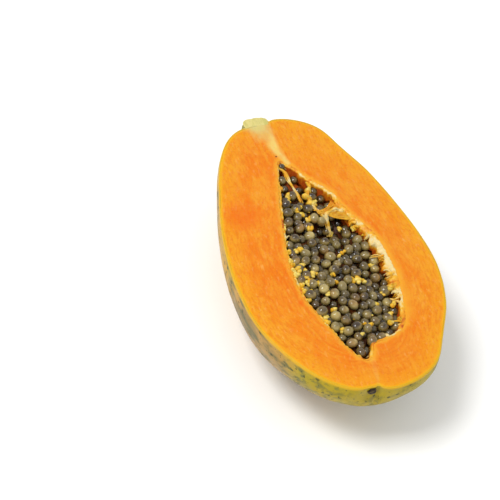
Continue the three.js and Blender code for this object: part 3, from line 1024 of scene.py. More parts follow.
@dataclass
class CutStalk(Finish):
    """Stub of the stalk: pale green-yellow and faintly fibrous where cut, darker and corky outside.

    It gives the eye a dry, nearly matt surface.
    """

    name: str = "papaya_stalk"
    cut: str = "#CDBF78"
    green: str = "#B9B064"
    cork: str = "#7F7A45"
    shine: Shine = Shine(1.45, 0.35, lets_in=0.15, tint=(1.0, 0.9, 0.4), scatter_mm=1.5)

    def make(self) -> Material:
        """Fibres along the stalk, darker away from the cut.

        Returns:
            The material.
        """
        self.start()
        fibre = self.grain(1.1, 3, (1, 4, 1))
        spots = self.add(Node.EASE, self.grain(1.6, 3), 0.58, 0.7, 0.0, 0.25)
        outside = self.add(Node.MOST, self.add(Node.HELD, attribute_name="outside"), spots)
        colour = self.layered(
            self.cut,
            (self.add(Node.EASE, fibre, 0.4, 0.65), self.green),
            (self.add(Node.TIMES, outside, 0.75), self.cork),
        )
        rough = self.add(Node.EASE, self.grain(2, 2), 0.3, 0.7, 0.5, 0.65)
        return self.shade(colour, rough, self.shine, (fibre, 0.25, 0.5))


@dataclass
class DriedScar(Finish):
    """Dried remains of the flower: dark brown and crumbly, and quite matt to the eye."""

    name: str = "papaya_scar"
    dark: str = "#2C2215"
    grey: str = "#5A4A30"
    shine: Shine = Shine(1.45)

    def make(self) -> Material:
        """Brown and grey crumbs.

        Returns:
            The material.
        """
        self.start()
        crumb = self.grain(0.7, 4)
        colour = self.layered(self.dark, (self.add(Node.EASE, crumb, 0.4, 0.62), self.grey))
        rough = self.add(Node.EASE, crumb, 0.3, 0.7, 0.75, 0.95)
        return self.shade(colour, rough, self.shine, (crumb, 0.4, 0.8))


@dataclass
class StudioPaper(Finish):
    """White paper: very faintly uneven, and matt, so that the eye sees only the shadow on it."""

    name: str = "white_paper"
    white: str = "#F6F6F5"
    shade_white: str = "#F2F2F1"
    shine: Shine = Shine(1.45, 0.2)

    def make(self) -> Material:
        """Nearly one white.

        Returns:
            The material.
        """
        self.start()
        cloud = self.grain(60, 2)
        rough = self.add(Node.EASE, cloud, 0.3, 0.7, 0.7, 0.8)
        colour = self.layered(self.white, (cloud, self.shade_white))
        return self.shade(colour, rough, self.shine, (cloud, 0.1, 0.1))


# Sub-assemblies


@dataclass
class CutHalf:
    """The half fruit: its skin, its flesh and the dried scar."""

    form: FruitForm
    mouth: MouthForm
    placing: Placing
    columns: int = 420
    skin_rows: int = 104
    face_rows: int = 66
    wall_rows: int = 34
    back_rows: int = 40
    skin_thick: float = 0.9
    skin_inset: float = 0.15
    flesh_gap: float = 0.1
    crowding: float = 0.25
    face_crowding: float = 0.12
    wall_from: float = 0.045
    # Each swell of the skin: height, size, random table
    relief: tuple[tuple[float, float, int], ...] = ((0.12, 9.0, 3), (0.05, 2.6, 4))
    # Each step of the rounded lip: inwards, down
    lip: tuple[Pair, ...] = ((0.03, 0.28), (0.12, 0.11), (0.3, 0.03), (0.6, 0.03))
    lip_end: float = 0.05
    lowest_turn: float = math.radians(0.3)
    first_dip: float = math.radians(1)
    scar_size: Triple = (2.3, 1.1, 1.9)
    scar_out: float = 0.2
    scar_rows: int = 22
    scar_sides: int = 44
    # Each notch: x, y, radius, depth
    notches: tuple[Fourfold, ...] = ((-3.6, -92.5, 1.5, 1.3), (0.5, 92.4, 1.25, 3.2))
    # Each place on the veins: x, y, half width
    stalk_vein: tuple[Triple, ...] = (
        (-8.3, 92.5, 8.8), (-7.0, 87, 7.2), (-5.2, 81.4, 4.8), (-3.5, 74.1, 3.3), (-2.3, 66.9, 2.2),
        (0.2, 60.5, 1.4),
    )
    blossom_vein: tuple[Triple, ...] = ((-1.2, -76, 1.5), (-2.3, -84, 1.0), (-3.9, -92, 0.8))
    blossom_vein_strength: float = 0.22
    # Painted shade: its strength at the bottom of the cavity wall
    deepest_colour: float = 0.85
    spots: dict[str, Triple] = field(default_factory=lambda: {
        "stalk": (-8.4, 92.0, 0.0), "pit": (-4.8, 66.1, 0.0), "bruise": (-24.8, -35.4, 0.0),
        "flush": (-37.0, 27.0, 0.0), "shoulder": (22.0, 78.0, 0.0), "cheek": (-44.0, -42.0, -18.0),
        "pale_side": (33.0, -28.0, 0.0),
    })

    def spots_of(self, *names: str) -> dict[str, Triple]:
        """The named places of the finishes, in the row's frame."""
        return {name: tuple(self.placing.to_row(np.array(self.spots[name]))) for name in names}

    def turns(self) -> Grid:
        """Directions round the centre, closer together at the two ends."""
        even = np.linspace(-math.pi, math.pi, self.columns, endpoint=False)
        return even + self.crowding * np.sin(2 * even)

    def outer(self, turn: Grid, dip: Grid, inset: float = 0.0) -> Grid:
        """The skin seen from the mouth's centre: for each direction and dip, the ray's end on the fruit.

        Args:
            turn: Directions round, for the columns.
            dip: Angles below the cut face, for the rows.
            inset: How far inside the skin, in mm.

        Returns:
            Points, rows by columns, a little uneven, notched at both ends and flat where the half rests.
        """
        down, round_ = np.meshgrid(dip, turn, indexing="ij")
        way = np.stack([np.cos(down) * np.cos(round_), np.cos(down) * np.sin(round_), -np.sin(down)], -1)
        start = np.array([*self.mouth.centre, 0.0])
        reach = self.form.reach(start, way)
        far = start + way * reach[..., None]
        relief = sum(high * noise(far, size, seed) for high, size, seed in self.relief)
        relief = relief * np.clip(np.sin(down) * 40, 0, 1)
        for x, y, radius, depth in self.notches:
            relief = relief - depth * np.exp(-((far[..., 0] - x) ** 2 + (far[..., 1] - y) ** 2) / radius**2)
        points = start + way * (reach + relief - self.skin_inset - inset)[..., None]
        points[..., 2] = np.maximum(points[..., 2], inset - self.placing.shift[2])
        return points

    def build(self) -> None:
        turn = self.turns()
        rim = self.outer(turn, np.array([0.0]))[0]
        self.skin(turn, rim)
        self.flesh(turn, rim)
        self.scar()

    def skin(self, turn: Grid, rim: Grid) -> None:
        """The peel: out from under the middle, up to the rounded edge, and back down inside.

        Args:
            turn: Directions round.
            rim: The skin's edge on the cut face.
        """
        spread = np.linspace(1, 0, self.skin_rows)[1:] ** 1.5
        outside = self.outer(turn, self.lowest_turn + (math.pi / 2 - self.lowest_turn) * spread)
        inward = np.stack([-np.cos(turn), -np.sin(turn), 0 * turn], -1)
        steps = (*self.lip, (self.skin_thick, self.lip_end))
        lip = np.stack([rim + inward * wide - [0, 0, low] for wide, low in steps])
        dips = np.linspace(self.first_dip, math.pi / 2, self.back_rows)[:-1]
        inside = self.outer(turn, dips, self.skin_thick)
        rings = np.concatenate([outside, lip, inside])[None]
        under = np.array([math.pi / 2])
        ends = self.outer(turn[:1], under)[0], self.outer(turn[:1], under, self.skin_thick)[0]
        spots = self.spots_of("stalk", "cheek")
        finish = WaxySkin(face_height=self.placing.shift[2] * MM, **spots).make()
        piece = make_piece("papaya_skin", lofted(rings, *ends).outward(), self.placing, finish)
        settle(piece, Slot.FLESH, "flesh")

    def flesh(self, turn: Grid, rim: Grid) -> None:
        """The flesh: its back under the peel, the cut face in to the ragged mouth, and the cavity's wall.

        Args:
            turn: Directions round.
            rim: The skin's edge on the cut face.
        """
        inward = np.stack([-np.cos(turn), -np.sin(turn), 0 * turn], -1)
        start = rim + inward * (self.skin_thick - self.skin_inset)
        centre = np.array([*self.mouth.centre, 0.0])
        edge = centre - inward * self.mouth.radius(turn)[:, None]
        edge = edge - inward * self.mouth.ragged(edge)[:, None]
        part = np.linspace(0, 1, self.face_rows)[:, None, None]
        part = part + self.face_crowding * np.sin(2 * math.pi * part) / math.pi
        face = start * (1 - part) + edge * part
        rim_mm, bore_mm = self.nearest(face, rim), self.nearest(face, edge)
        grain = 0.05 * noise(face * [1, 0.25, 1], 1.6, 11) + 0.06 * noise(face, 12.0, 12)
        face[..., 2] = -0.06 + np.minimum(grain, 0.05) - 0.25 * np.exp(-bore_mm / 0.5)
        dip = np.linspace(self.wall_from, 1, self.wall_rows)[:-1] * math.pi / 2
        wall = self.mouth.bowl(edge[None, :, :2], -self.mouth.depth * np.sin(dip)[:, None])
        inset = self.skin_thick + self.flesh_gap
        back = self.outer(turn, np.linspace(math.pi / 2, self.first_dip, self.back_rows)[1:], inset)
        first = self.outer(turn[:1], np.array([math.pi / 2]), inset)[0]
        last = (centre - [0, 0, self.mouth.depth])[None]
        surface = lofted(np.concatenate([back, face, wall])[None], first, last)
        by_blossom = self.blossom_vein_strength * self.vein(face, self.blossom_vein)
        veins = np.maximum(self.vein(face, self.stalk_vein), by_blossom)
        # Painted shade: the cavity wall darkens towards its bottom
        deep = np.clip((-wall[..., 2] - 0.6) / 3.5, 0, 1) * self.deepest_colour
        kinds = {"rim_mm": (0.0, rim_mm, 20.0), "bore_mm": (20.0, bore_mm, 1.2), "vein": (0.0, veins, 0.0)}
        for key, (behind, on_face, inside) in kinds.items():
            filled = np.full(back.shape[:2], behind), on_face, np.full(wall.shape[:2], inside)
            surface.values[key] = np.concatenate([*(part.ravel() for part in filled), [behind, inside]])
        shallow = np.zeros(len(surface.points) - wall.shape[0] * wall.shape[1] - 2)
        surface.values["deep"] = np.concatenate([shallow, deep.ravel(), [0.0, self.deepest_colour]])
        finish = RipeFlesh(**self.spots_of("stalk", "pit", "bruise", "flush", "shoulder", "pale_side"))
        piece = make_piece("papaya_flesh", surface.outward(), self.placing, finish.make())
        settle(piece, Slot.FLESH, "flesh")

    @staticmethod
    def nearest(points: Grid, loop: Grid) -> Grid:
        """Shortest distance from each point to a loop's points, flat on the cut face.

        Args:
            points: The points.
            loop: The loop.

        Returns:
            The distances in mm.
        """
        chunks = np.array_split(points[..., :2].reshape(-1, 2), 24)
        found = [np.sqrt(((chunk[:, None] - loop[None, :, :2]) ** 2).sum(-1).min(1)) for chunk in chunks]
        return np.concatenate(found).reshape(points.shape[:-1])

    @staticmethod
    def vein(face: Grid, path: tuple[Triple, ...]) -> Grid:
        """A pale vein on the face: 1 on its line, fading to 0 past its half width, with ragged sides.

        Args:
            face: Points of the face.
            path: Places along the vein, each with its half width.

        Returns:
            The vein's strength at each point.
        """
        knots = np.array(path)
        ragged = 1 + 0.3 * noise(face * [1, 0.3, 1], 1.8, 21)
        best = np.zeros(face.shape[:-1])
        for a, b in zip(knots[:-1], knots[1:]):
            along = b[:2] - a[:2]
            part = np.clip(((face[..., :2] - a[:2]) @ along) / (along @ along), 0, 1)
            away = np.linalg.norm(face[..., :2] - a[:2] - part[..., None] * along, axis=-1)
            width = (a[2] + (b[2] - a[2]) * part) * ragged
            best = np.maximum(best, np.clip(1.5 - 1.15 * away / width, 0, 1))
        return best

    def scar(self) -> None:
        """The dried scar: a lumpy flattened ball where the flower was, its radius shaken by noise."""
        round_y = ball(self.scar_rows, self.scar_sides)[..., [0, 2, 1]]
        x, z = self.form.scar_at
        at = np.array([x, -self.form.half_length + self.form.scar_hollow + self.scar_out, z])
        size = np.array(self.scar_size)
        crumbs = 1 + 0.22 * noise(round_y * 2, 0.9, 31) + 0.12 * noise(round_y * 2, 0.35, 32)
        poles = np.array([[0, 1.0, 0], [0, -1.0, 0]]) * size + at
        surface = lofted((round_y * crumbs[..., None] * size + at)[None], poles[:1], poles[1:])
        piece = make_piece("blossom_scar", surface.outward(), self.placing, DriedScar().make())
        settle(piece, Slot.FLESH, "flesh")


@dataclass
class StalkStub:
    """The stub of the stalk, cut through with the fruit."""

    form: FruitForm
    placing: Placing
    profile: tuple[Pair, ...] = (
        (1.2, -4.9), (3.4, -4.6), (6, -2.6), (7.4, 0.4), (7.9, 3), (7.3, 5.2), (5, 6.6), (1.5, 6.98),
    )
    middle: float = 90.6
    lobes: int = 5
    lobe: float = 0.09
    worn_edge: float = 0.3
    sunk: float = 0.4
    sunk_below: float = 91.0
    slant: float = 0.9
    rows: int = 44
    columns: int = 96
    end_points: Pair = (-4.9, 6.85)

    def build(self) -> None:
        """A smooth profile turned round the stalk's axis, lobed, worn a little, and flat at the cut."""
        profile = np.array(self.profile)
        rows = np.linspace(-1, 1, self.rows)
        radius, along = through(tuple(profile[:, 0]), rows), through(tuple(profile[:, 1]), rows)
        angle = np.linspace(0, 2 * math.pi, self.columns, endpoint=False)
        reach = radius[:, None] * (1 + self.lobe * np.cos(self.lobes * angle))
        points = np.stack([reach * np.cos(angle), along[:, None] + 0 * reach, reach * np.sin(angle)], -1)
        worn = 0.97 + 0.02 * noise(points, 1.7, 41) + 0.01 * noise(points, 0.6, 42)
        place = np.array([self.form.stem_at[0], self.middle, self.form.stem_at[1]])
        points = points * worn[..., None]
        lean = np.clip(0.5 - points[..., 0] / 14, 0, 1) * np.clip(points[..., 1] / 5, 0, 1)
        points = points - np.array([0, self.slant, 0]) * lean[..., None] + place
        side = np.clip((-points[..., 2] - 0.1) / 1.2, 0, 1)
        points[..., 2] = (points[..., 2] - np.sqrt(points[..., 2] ** 2 + self.worn_edge**2)) / 2
        points[..., 2] -= self.sunk * np.clip((self.sunk_below - points[..., 1]) / 1.5, 0, 1)
        ends = np.array([[0, y, 0] for y in self.end_points]) + place
        surface = lofted(points[None], ends[:1], ends[1:])
        surface.values = {"outside": np.concatenate([side.ravel(), [0, 0]])}
        piece = make_piece("stalk_stub", surface.outward(), self.placing, CutStalk().make())
        settle(piece, Slot.STEM, "stem")


@dataclass
class SeedMass:
    """The bed in the cavity and the seeds heaped on it, where the solid has them."""

    form: FruitForm
    mouth: MouthForm
    lining: LiningForm
    placing: Placing
    level: float = -5.4
    tilt: float = 0.1
    crown: float = 2.6
    crown_at: Pair = (3, -32)
    crown_wide: float = 15.0
    crown_long: float = 32.0
    hollow: float = 7.0
    hollow_at: Pair = (8.5, 12.5)
    hollow_radius: float = 8.5
    rim_z: float = -8.0
    bed_clear: float = 0.6
    bed_bottom: float = 2.4
    radius: float = 2.85
    spread: float = 0.3
    # Each layer: spacing, and its rise from the bed in radii
    layers: tuple[Pair, ...] = ((5.5, 0.75), (5.0, 0.42), (4.9, 0.1))
    under_layers: tuple[Pair, ...] = ((4.1, 0.1), (3.4, -0.3))
    rise_spread: float = 0.14
    size_spread: Pair = (0.94, 1.05)
    from_lining: float = 1.7
    tries: int = 6000
    seed: int = 20231
    sink_seed: int = 62
    turn_seed: int = 61
    # Each seed placed one by one: x, y, z, radius
    pale_seeds: tuple[Fourfold, ...] = ((2.2, 20.6, -2.2, 2.7), (5.6, 18.2, -2.9, 2.6))
    tip_seeds: tuple[Fourfold, ...] = (
        (-3.5, 59.6, -2.0, 2.0), (1.2, 51.2, -4.6, 2.5), (-6.4, 50.2, -2.6, 2.6), (-6.6, 45.0, -4.2, 2.6),
        (2.0, 43.4, -5.6, 2.8), (9.4, 41.4, -4.4, 2.4), (-9.8, 40.4, -4.6, 2.4), (-4.4, 38.4, -2.8, 2.9),
        (-9.6, 35.2, -3.4, 2.8), (6.8, 36.4, -3.4, 2.7), (1.0, 36.8, -6.6, 2.8), (-1.6, 48.0, -7.8, 2.6),
        (12.0, 36.0, -5.4, 2.6), (-3.4, 42.0, -7.6, 2.7), (5.6, 40.6, -8.2, 2.7),
    )
    # Painted shade: how far below the heap's top a seed is painted fully dark, in mm
    shade_depth: float = 3.2
    sink: float = 1.3
    gone: float = 0.03
    gap_at: Pair = (4.5, 13.5)
    gap_radius: float = 5.2
    gap_edge: float = 0.37
    by_hand_above: float = 33.5
    # Painted shade towards the stalk: where it starts and over how far, in mm
    shade_from: float = 8.0
    shade_over: float = 24.0
    shape: Triple = (0.95, 0.95, 1.09)
    ball_sides: int = 10
    ball_rows: int = 5
    bed_columns: int = 200
    bed_rows: int = 46

    def bed_height(self, x: Grid, y: Grid) -> Grid:
        """The bed's height: a level that sinks to the right, plus a long crown, less a round hollow.

        Args:
            x: Places across.
            y: Places along.

        Returns:
            The height at each.
        """
        across, along = (x - self.crown_at[0]) / self.crown_wide, (y - self.crown_at[1]) / self.crown_long
        level = self.level - self.tilt * (x - self.mouth.centre[0])
        crown = self.crown * np.exp(-(across**2 + along**2))
        return level + crown - self.hollow * bell(x, y, self.hollow_at, self.hollow_radius)

    def places(self) -> Grid:
        """Throws the seeds as the part's source does, then more of them low in the gaps, and lets them sink.

        Those in the open gap, those by the tip and a few others are taken out. The listed ones
        come first.

        Returns:
            For each seed x, y, z and radius.
        """
        edge, inward = self.mouth.along(self.mouth.samples)
        u = np.arange(self.mouth.samples) / self.mouth.samples
        ring = edge + inward * (self.lining.gap + self.lining.thickness(u) + self.from_lining)[:, None]
        low, high = ring.min(0), ring.max(0)
        draw = random_from(self.seed)
        kept: list[tuple[float, ...]] = []
        for level, (spacing, rise) in enumerate((*self.layers, *self.under_layers)):
            for _ in range(self.tries):
                x = low[0] + (high[0] - low[0]) * draw()
                y = low[1] + (high[1] - low[1]) * draw()
                radius = self.radius + self.spread * (2 * draw() - 1)
                height = rise + self.rise_spread * (2 * draw() - 1)
                clear = all(math.hypot(x - k[0], y - k[1]) > spacing for k in kept)
                if clear and self.within(ring, x, y):
                    kept.append((x, y, float(self.bed_height(x, y)) + height * radius, radius, level))
        heap = np.array(kept)
        rng = np.random.default_rng(self.sink_seed)
        heap[:, 2] -= self.sink * rng.beta(1.0, 2.2, len(heap))
        in_gap = bell(heap[:, 0], heap[:, 1], self.gap_at, self.gap_radius) > self.gap_edge
        upper = heap[:, 4] < len(self.layers)
        gone = upper & (in_gap | (rng.random(len(heap)) < self.gone)) | (heap[:, 1] > self.by_hand_above)
        return np.vstack([self.pale_seeds, self.tip_seeds, heap[~gone, :4]])

    @staticmethod
    def within(ring: Grid, x: float, y: float) -> bool:
        """True if a point is inside a closed outline: a ray to the right crosses it an odd number of times.

        Args:
            ring: The outline's points.
            x: The point's place across.
            y: The point's place along.

        Returns:
            Whether it is inside.
        """
        ahead = np.roll(ring, 1, 0)
        crosses = (ring[:, 1] > y) != (ahead[:, 1] > y)
        a, b = ring[crosses], ahead[crosses]
        at = (b[:, 0] - a[:, 0]) * (y - a[:, 1]) / (b[:, 1] - a[:, 1]) + a[:, 0]
        return int((x < at).sum()) % 2 == 1

    def build(self) -> Grid:
        """Makes the bed and the seeds.

        Returns:
            The seeds' places, for what lies among them.
        """
        self.bed()
        seeds = self.places()
        self.seeds(seeds)
        return seeds

    def bed(self) -> None:
        """The bed: rings spread from the centre over the top, roughened, then the bowl inside the lining."""
        count = self.bed_columns
        edge, inward = self.mouth.along(count)
        u = np.arange(count) / count
        edge = edge + inward * (2 * self.lining.gap + self.lining.thickness(u) + self.bed_clear)[:, None]
        depth = self.mouth.depth - self.bed_bottom
        rim = self.mouth.bowl(edge, np.full(count, self.rim_z), self.bed_bottom)[:, :2]
        centre = np.array(self.mouth.centre)
        part = np.linspace(0, 1, self.bed_rows)[1:, None, None]
        flat = centre * (1 - part) + rim * part
        height = self.bed_height(flat[..., 0], flat[..., 1])
        height = height + 0.6 * noise(raised(flat), 3.0, 51) + 0.25 * noise(raised(flat), 1.1, 52)
        rim_angle = math.asin(-self.rim_z / depth)
        dip = rim_angle + (math.pi / 2 - rim_angle) * np.linspace(0, 1, 20)[2:-1]
        wall = self.mouth.bowl(edge[None], -depth * np.sin(dip)[:, None], self.bed_bottom)
        first = np.array([[*centre, float(self.bed_height(*centre))]])
        rings = np.concatenate([raised(flat, height), wall])[None]
        surface = lofted(rings, first, np.array([[*centre, -depth]]))
        surface.values = {"thin": 0.75 - 0.5 * np.clip((surface.points[:, 1] - 36) / 10, 0, 1)}
        # Near-black browns: partly the pulp's own orange-brown, partly painted shade in the gaps between
        # seeds
        finish = PulpLining(
            "seed_bed_pulp_and_shade", cream="#A4491A", yellow="#6A3712", amber="#42200C", red="#241208",
            fibre_mm=1.6, fibre_stretch=(1, 2, 1), gloss=0.1,
        )
        settle(make_piece("seed_bed", surface.outward(), self.placing, finish.make()), Slot.SEEDS, "seeds")

    def seeds(self, places: Grid) -> None:
        """The seeds: balls squashed and turned at random, each with its own tone, duller towards the stalk
        end and darker low in the heap, as painted shade.

        Args:
            places: For each seed x, y, z and radius.
        """
        rng = np.random.default_rng(self.turn_seed)
        count = len(places)
        grid = ball(self.ball_rows, self.ball_sides)
        ends = np.array([[0, 0, 1.0], [0, 0, -1.0]])
        size = rng.uniform(*self.size_spread, (count, 3)) * self.shape * places[:, 3:]
        turn = random_turns(rng, count)
        rings = np.einsum("sij,srcj->srci", turn, grid[None] * size[:, None, None])
        rings = rings + places[:, None, None, :3]
        tips = np.einsum("sij,skj->ski", turn, ends[None] * size[:, None]) + places[:, None, :3]
        surface = lofted(rings, tips[:, 0], tips[:, 1])
        each = len(surface.points) // count
        way = surface.points - np.repeat(places[:, :3], each, 0)
        way /= np.linalg.norm(way, axis=1, keepdims=True)
        axis = np.array([-0.1, 0.2, 0.95]) + 0.25 * rng.normal(size=(count, 3))
        axis /= np.linalg.norm(axis, axis=1, keepdims=True)
        facing = (way * np.repeat(axis, each, 0)).sum(1)
        top = self.bed_height(places[:, 0], places[:, 1]) + self.radius * 1.5
        # Painted shade: duller tone and a floor of darkness towards the stalk end, and darker the further
        # below the heap's top
        shade_to_stalk = np.clip((places[:, 1] - self.shade_from) / self.shade_over, 0, 1)
        below = (np.repeat(top, each) - surface.points[:, 2]) / self.shade_depth
        surface.values = {
            "tone": np.repeat(rng.beta(1.7, 2.4, count) * (1 - 0.6 * shade_to_stalk), each),
            "core": np.clip((facing - 0.3) / 0.4, 0, 1),
            "low": np.clip(below, np.repeat(0.5 * shade_to_stalk, each), 1),
        }
        surface.values["tone"][: len(self.pale_seeds) * each] = 1.0
        piece = make_piece("papaya_seeds", surface.outward(), self.placing, SeedCoat().make())
        settle(piece, Slot.SEEDS, "seeds")
        LOG.info("%d seeds", count)


@dataclass
class Placenta:
    """The pale lining of the cavity's mouth, its strands, and the yellow lumps among the seeds."""

    mouth: MouthForm
    form: LiningForm
    mass: SeedMass
    placing: Placing
    around: int = 900
    strand_root: float = -2.2
    # Each strand: where it starts along the edge, its radius, and places on its way
    strands: tuple[tuple[float, float, tuple[Triple, ...]], ...] = (
        (0.985, 0.8, ((-3.2, 55.5, -1.8), (-3, 48, -1.5), (-2, 41, -1.6), (-0.4, 33, -4))),
        (0.065, 0.95, ((7, 42.6, -1.7), (4.2, 38, -1.7), (3.8, 31.6, -1.9), (6, 25, -2.3), (9, 20.5, -3.4))),
        (0.15, 1.3, ((16.5, 23.8, -1.6), (12, 23.4, -1.6), (9.2, 21, -2.6), (9.6, 16.5, -6), (10, 13, -10))),
    )
    # Each lump placed one by one: x, y, z, radius
    lumps: tuple[Fourfold, ...] = (
        (3.4, 36.0, -2.4, 2.3), (4.3, 30.6, -2.6, 2.4), (5.6, 40.6, -2.2, 1.9), (9.5, -26.5, -0.6, 1.9),
        (-15.6, -21.8, -1.6, 2.0), (-17.2, -11.5, -1.4, 1.9), (-18.7, -6.0, -1.6, 1.7),
        (-8.8, -32.0, -1.2, 1.6), (-0.6, -47.5, -1.6, 1.6), (26.4, -33.0, -1.8, 1.7),
        (23.6, -43.8, -1.8, 1.6), (17.6, -55.0, -1.8, 1.6), (-18.6, 5.0, -2.2, 1.7),
        (-16.2, 16.4, -2.2, 1.6), (-15.4, -46.0, -1.8, 1.7), (-20.9, -10.0, -1.0, 1.5),
        (-21.4, -17.0, -1.0, 1.7), (-21.0, -24.0, -1.0, 1.5), (-19.8, -1.0, -1.0, 1.6),
        (-20.2, -33.0, -1.1, 1.4), (-9.6, -54.5, -1.6, 1.6),
    )
    strand_points: int = 60
    strand_sides: int = 12
    fan_from: Triple = (15.6, 30.2, -1.6)
    fan_to: Triple = (22.6, 16.2, -1.6)
    fan_tip: Triple = (8.2, 24.6, -1.9)
    fan_radius: float = 0.52
    fan_fibres: int = 22
    fan_points: int = 18
    fan_sides: int = 8
    fan_seed: int = 95
    white_at: float = 0.27
    white_reach: float = 0.045
    stalk_reach: float = 0.13
    highest: float = 0.3
    top_rows: int = 14
    inner_rows: int = 8
    outer_rows: int = 6
    thread_count: int = 70
    thread_roots: int = 400
    thread_points: int = 12
    thread_sides: int = 7
    thread_seed: int = 91
    lump_count: int = 72
    lump_seed: int = 101
    lump_from: float = -60.0
    lump_to: float = 38.0
    lump_off_gap: float = 5.5
    lump_apart: float = 2.0
    lump_parts: int = 3
    lump_rows: int = 5
    lump_sides: int = 9
    lump_spread: float = 0.32
    left_from: int = 34

    def build(self, seeds: Grid) -> None:
        """Makes the lining with its strands, and the lumps.

        Args:
            seeds: The seeds' places.
        """
        lining = joined(self.band(), *self.main_strands(), self.fan(), self.threads())
        piece = make_piece("placenta_lining", lining, self.placing, PulpLining().make())
        settle(piece, Slot.PLACENTA, "placenta")
        finish = PulpLining(
            "placenta_lump", cream="#DEC05E", yellow="#DAA828", amber="#D0941C", red="#96560F",
            fibre_mm=1.2, fibre_stretch=(1, 1, 1),
        )
        piece = make_piece("placenta_lumps", self.lump_balls(seeds), self.placing, finish.make())
        settle(piece, Slot.PLACENTA)

    def band(self) -> Surface:
        """The lining: a lumpy top that sinks inwards, then down inside to its foot, and back up the wall.

        Returns:
            The band, with how thin it is at each point, and painted shade deeper down.
        """
        edge, inward = self.mouth.along(self.around)
        u = np.arange(self.around) / self.around
        flat = raised(edge)
        layer = self.form.layer(u)[:, None]
        thick = self.form.thickness(u) * (1 + 0.45 * noise(flat, 4.6, 71) + 0.3 * noise(flat, 1.4, 72))
        thick = np.maximum(thick - 0.5 * (1 - layer[:, 0]) * noise(flat, 7.0, 79), 0.1)[:, None]
        foot = -(self.form.foot(u) + 0.6 * noise(flat, 2.2, 73))[:, None]
        wall_gap = -0.6 - self.mouth.ragged(flat)[:, None]
        w = np.linspace(0, 1, self.top_rows)
        across = edge[:, None] + inward[:, None] * (wall_gap + (thick - wall_gap) * w)[..., None]
        sink = self.form.slope * 1.3 * np.maximum(thick - self.form.thin, 0) * w**1.6
        lumpy, by_wall = raised(across), (1 - w) ** 3
        height = -0.2 - sink + (0.25 + 0.4 * layer) * noise(lumpy, 2.1, 74) + 0.25 * noise(lumpy, 0.8, 75)
        height = np.minimum(height, self.highest) * (1 - by_wall) - 0.5 * by_wall - 0.35 * w**6
        down = np.linspace(0.12, 1, self.inner_rows)
        z = height[:, -1:] * (1 - down) + foot * down
        inside = raised(np.repeat(edge[:, None], self.inner_rows, 1), z)
        rough = 0.3 * noise(inside * [1, 1, 0.6], 1.6, 76)
        inner = self.mouth.bowl(across[:, -1:] + inward[:, None] * rough[..., None], z)
        up = np.linspace(1, 0.1, self.outer_rows)
        z = height[:, :1] * (1 - up) + foot * up
        outer = self.mouth.bowl((edge + inward * wall_gap)[:, None] + 0 * z[..., None], z)
        surface = banded(np.concatenate([raised(across, height), inner, outer], 1))
        sections = surface.points.reshape(self.around, -1, 3)
        blotch = 0.35 * noise(sections, 4.5, 77) + 0.25 * noise(sections, 1.4, 78)
        white = np.exp(-(((u - self.white_at) / self.white_reach) ** 2))[:, None]
        by_stalk = np.exp(-((np.minimum(u, 1 - u) / self.stalk_reach) ** 2))[:, None]
        base = 0.56 - 0.16 * layer**0.7 - 0.27 * white + 0.32 * by_stalk + blotch
        base[:, : len(w)] += 0.22 * by_wall * (1 - by_stalk)
        base[:, : len(w)] -= 0.3 * by_stalk
        # Painted shade: redder and darker the further below the cut face
        thin = np.clip(base + np.maximum(-sections[..., 2] - 1.2, 0) * 0.2, 0, 1)
        surface.values = {"thin": thin.ravel()}
        return surface.outward()

    def main_strands(self) -> list[Surface]:
        """The solid's strands, along smooth curves, each with two thinner fibres that stray beside it.

        Returns:
            A surface for each strand.
        """
        samples = self.mouth.samples
        edge, inward = self.mouth.along(samples)
        surfaces = []
        t = np.linspace(-1, 1, self.strand_points)
        for index, (start, radius, by) in enumerate(self.strands):
            i = round(start * samples) % samples
            root = edge[i] + inward[i] * (self.form.gap + self.form.thickness(np.array(start)) / 2)
            points = np.array([(*root, self.strand_root), *by])
            main = np.stack([through(tuple(points[:, k]), t) for k in range(3)], -1)
            shake = shaken(main, 5.0, 81 + index)
            right, left = main + 1.3 * shake + [0.5, 0, 0.1], main - 1.1 * shake[:, ::-1] - [0.5, 0, 0.2]
            paths = np.stack([main, right, left])
            widths = radius * np.array([0.85, 0.42, 0.36])[:, None]
            widths = widths * (1 + 0.45 * noise(paths, 1.7, 84)) * np.linspace(1.25, 0.75, len(t))
            surface = tubes(paths, widths, self.strand_sides)
            surface.values = {"thin": 0.42 + 0.3 * noise(surface.points, 3.0, 85)}
            surfaces.append(surface.outward())
        return surfaces

    def fan(self) -> Surface:
        """The torn sheet over the hollow: fibres side by side at its root that sag and meet at its tip.

        Returns:
            The sheet.
        """
        rng = np.random.default_rng(self.fan_seed)
        part = np.linspace(0, 1, self.fan_fibres)[:, None]
        root = np.array(self.fan_from) * (1 - part) + np.array(self.fan_to) * part
        end = np.array(self.fan_tip) + rng.normal(size=(self.fan_fibres, 3)) * [1.6, 0.9, 0.2]
        t = np.linspace(0, 1, self.fan_points)[None, :, None]
        paths = root[:, None] * (1 - t) + end[:, None] * t - np.sin(math.pi * t) * [0, 0.9, 0.5]
        paths = paths + 0.4 * shaken(paths, 2.6, 96) * [1, 1, 0.6]
        radii = self.fan_radius * (1 + 0.35 * noise(paths, 1.2, 97)) * (1 - 0.4 * t[..., 0])
        surface = tubes(paths, radii, self.fan_sides)
        surface.values = {"thin": 0.58 + 0.15 * noise(surface.points, 2.0, 98)}
        return surface.outward()

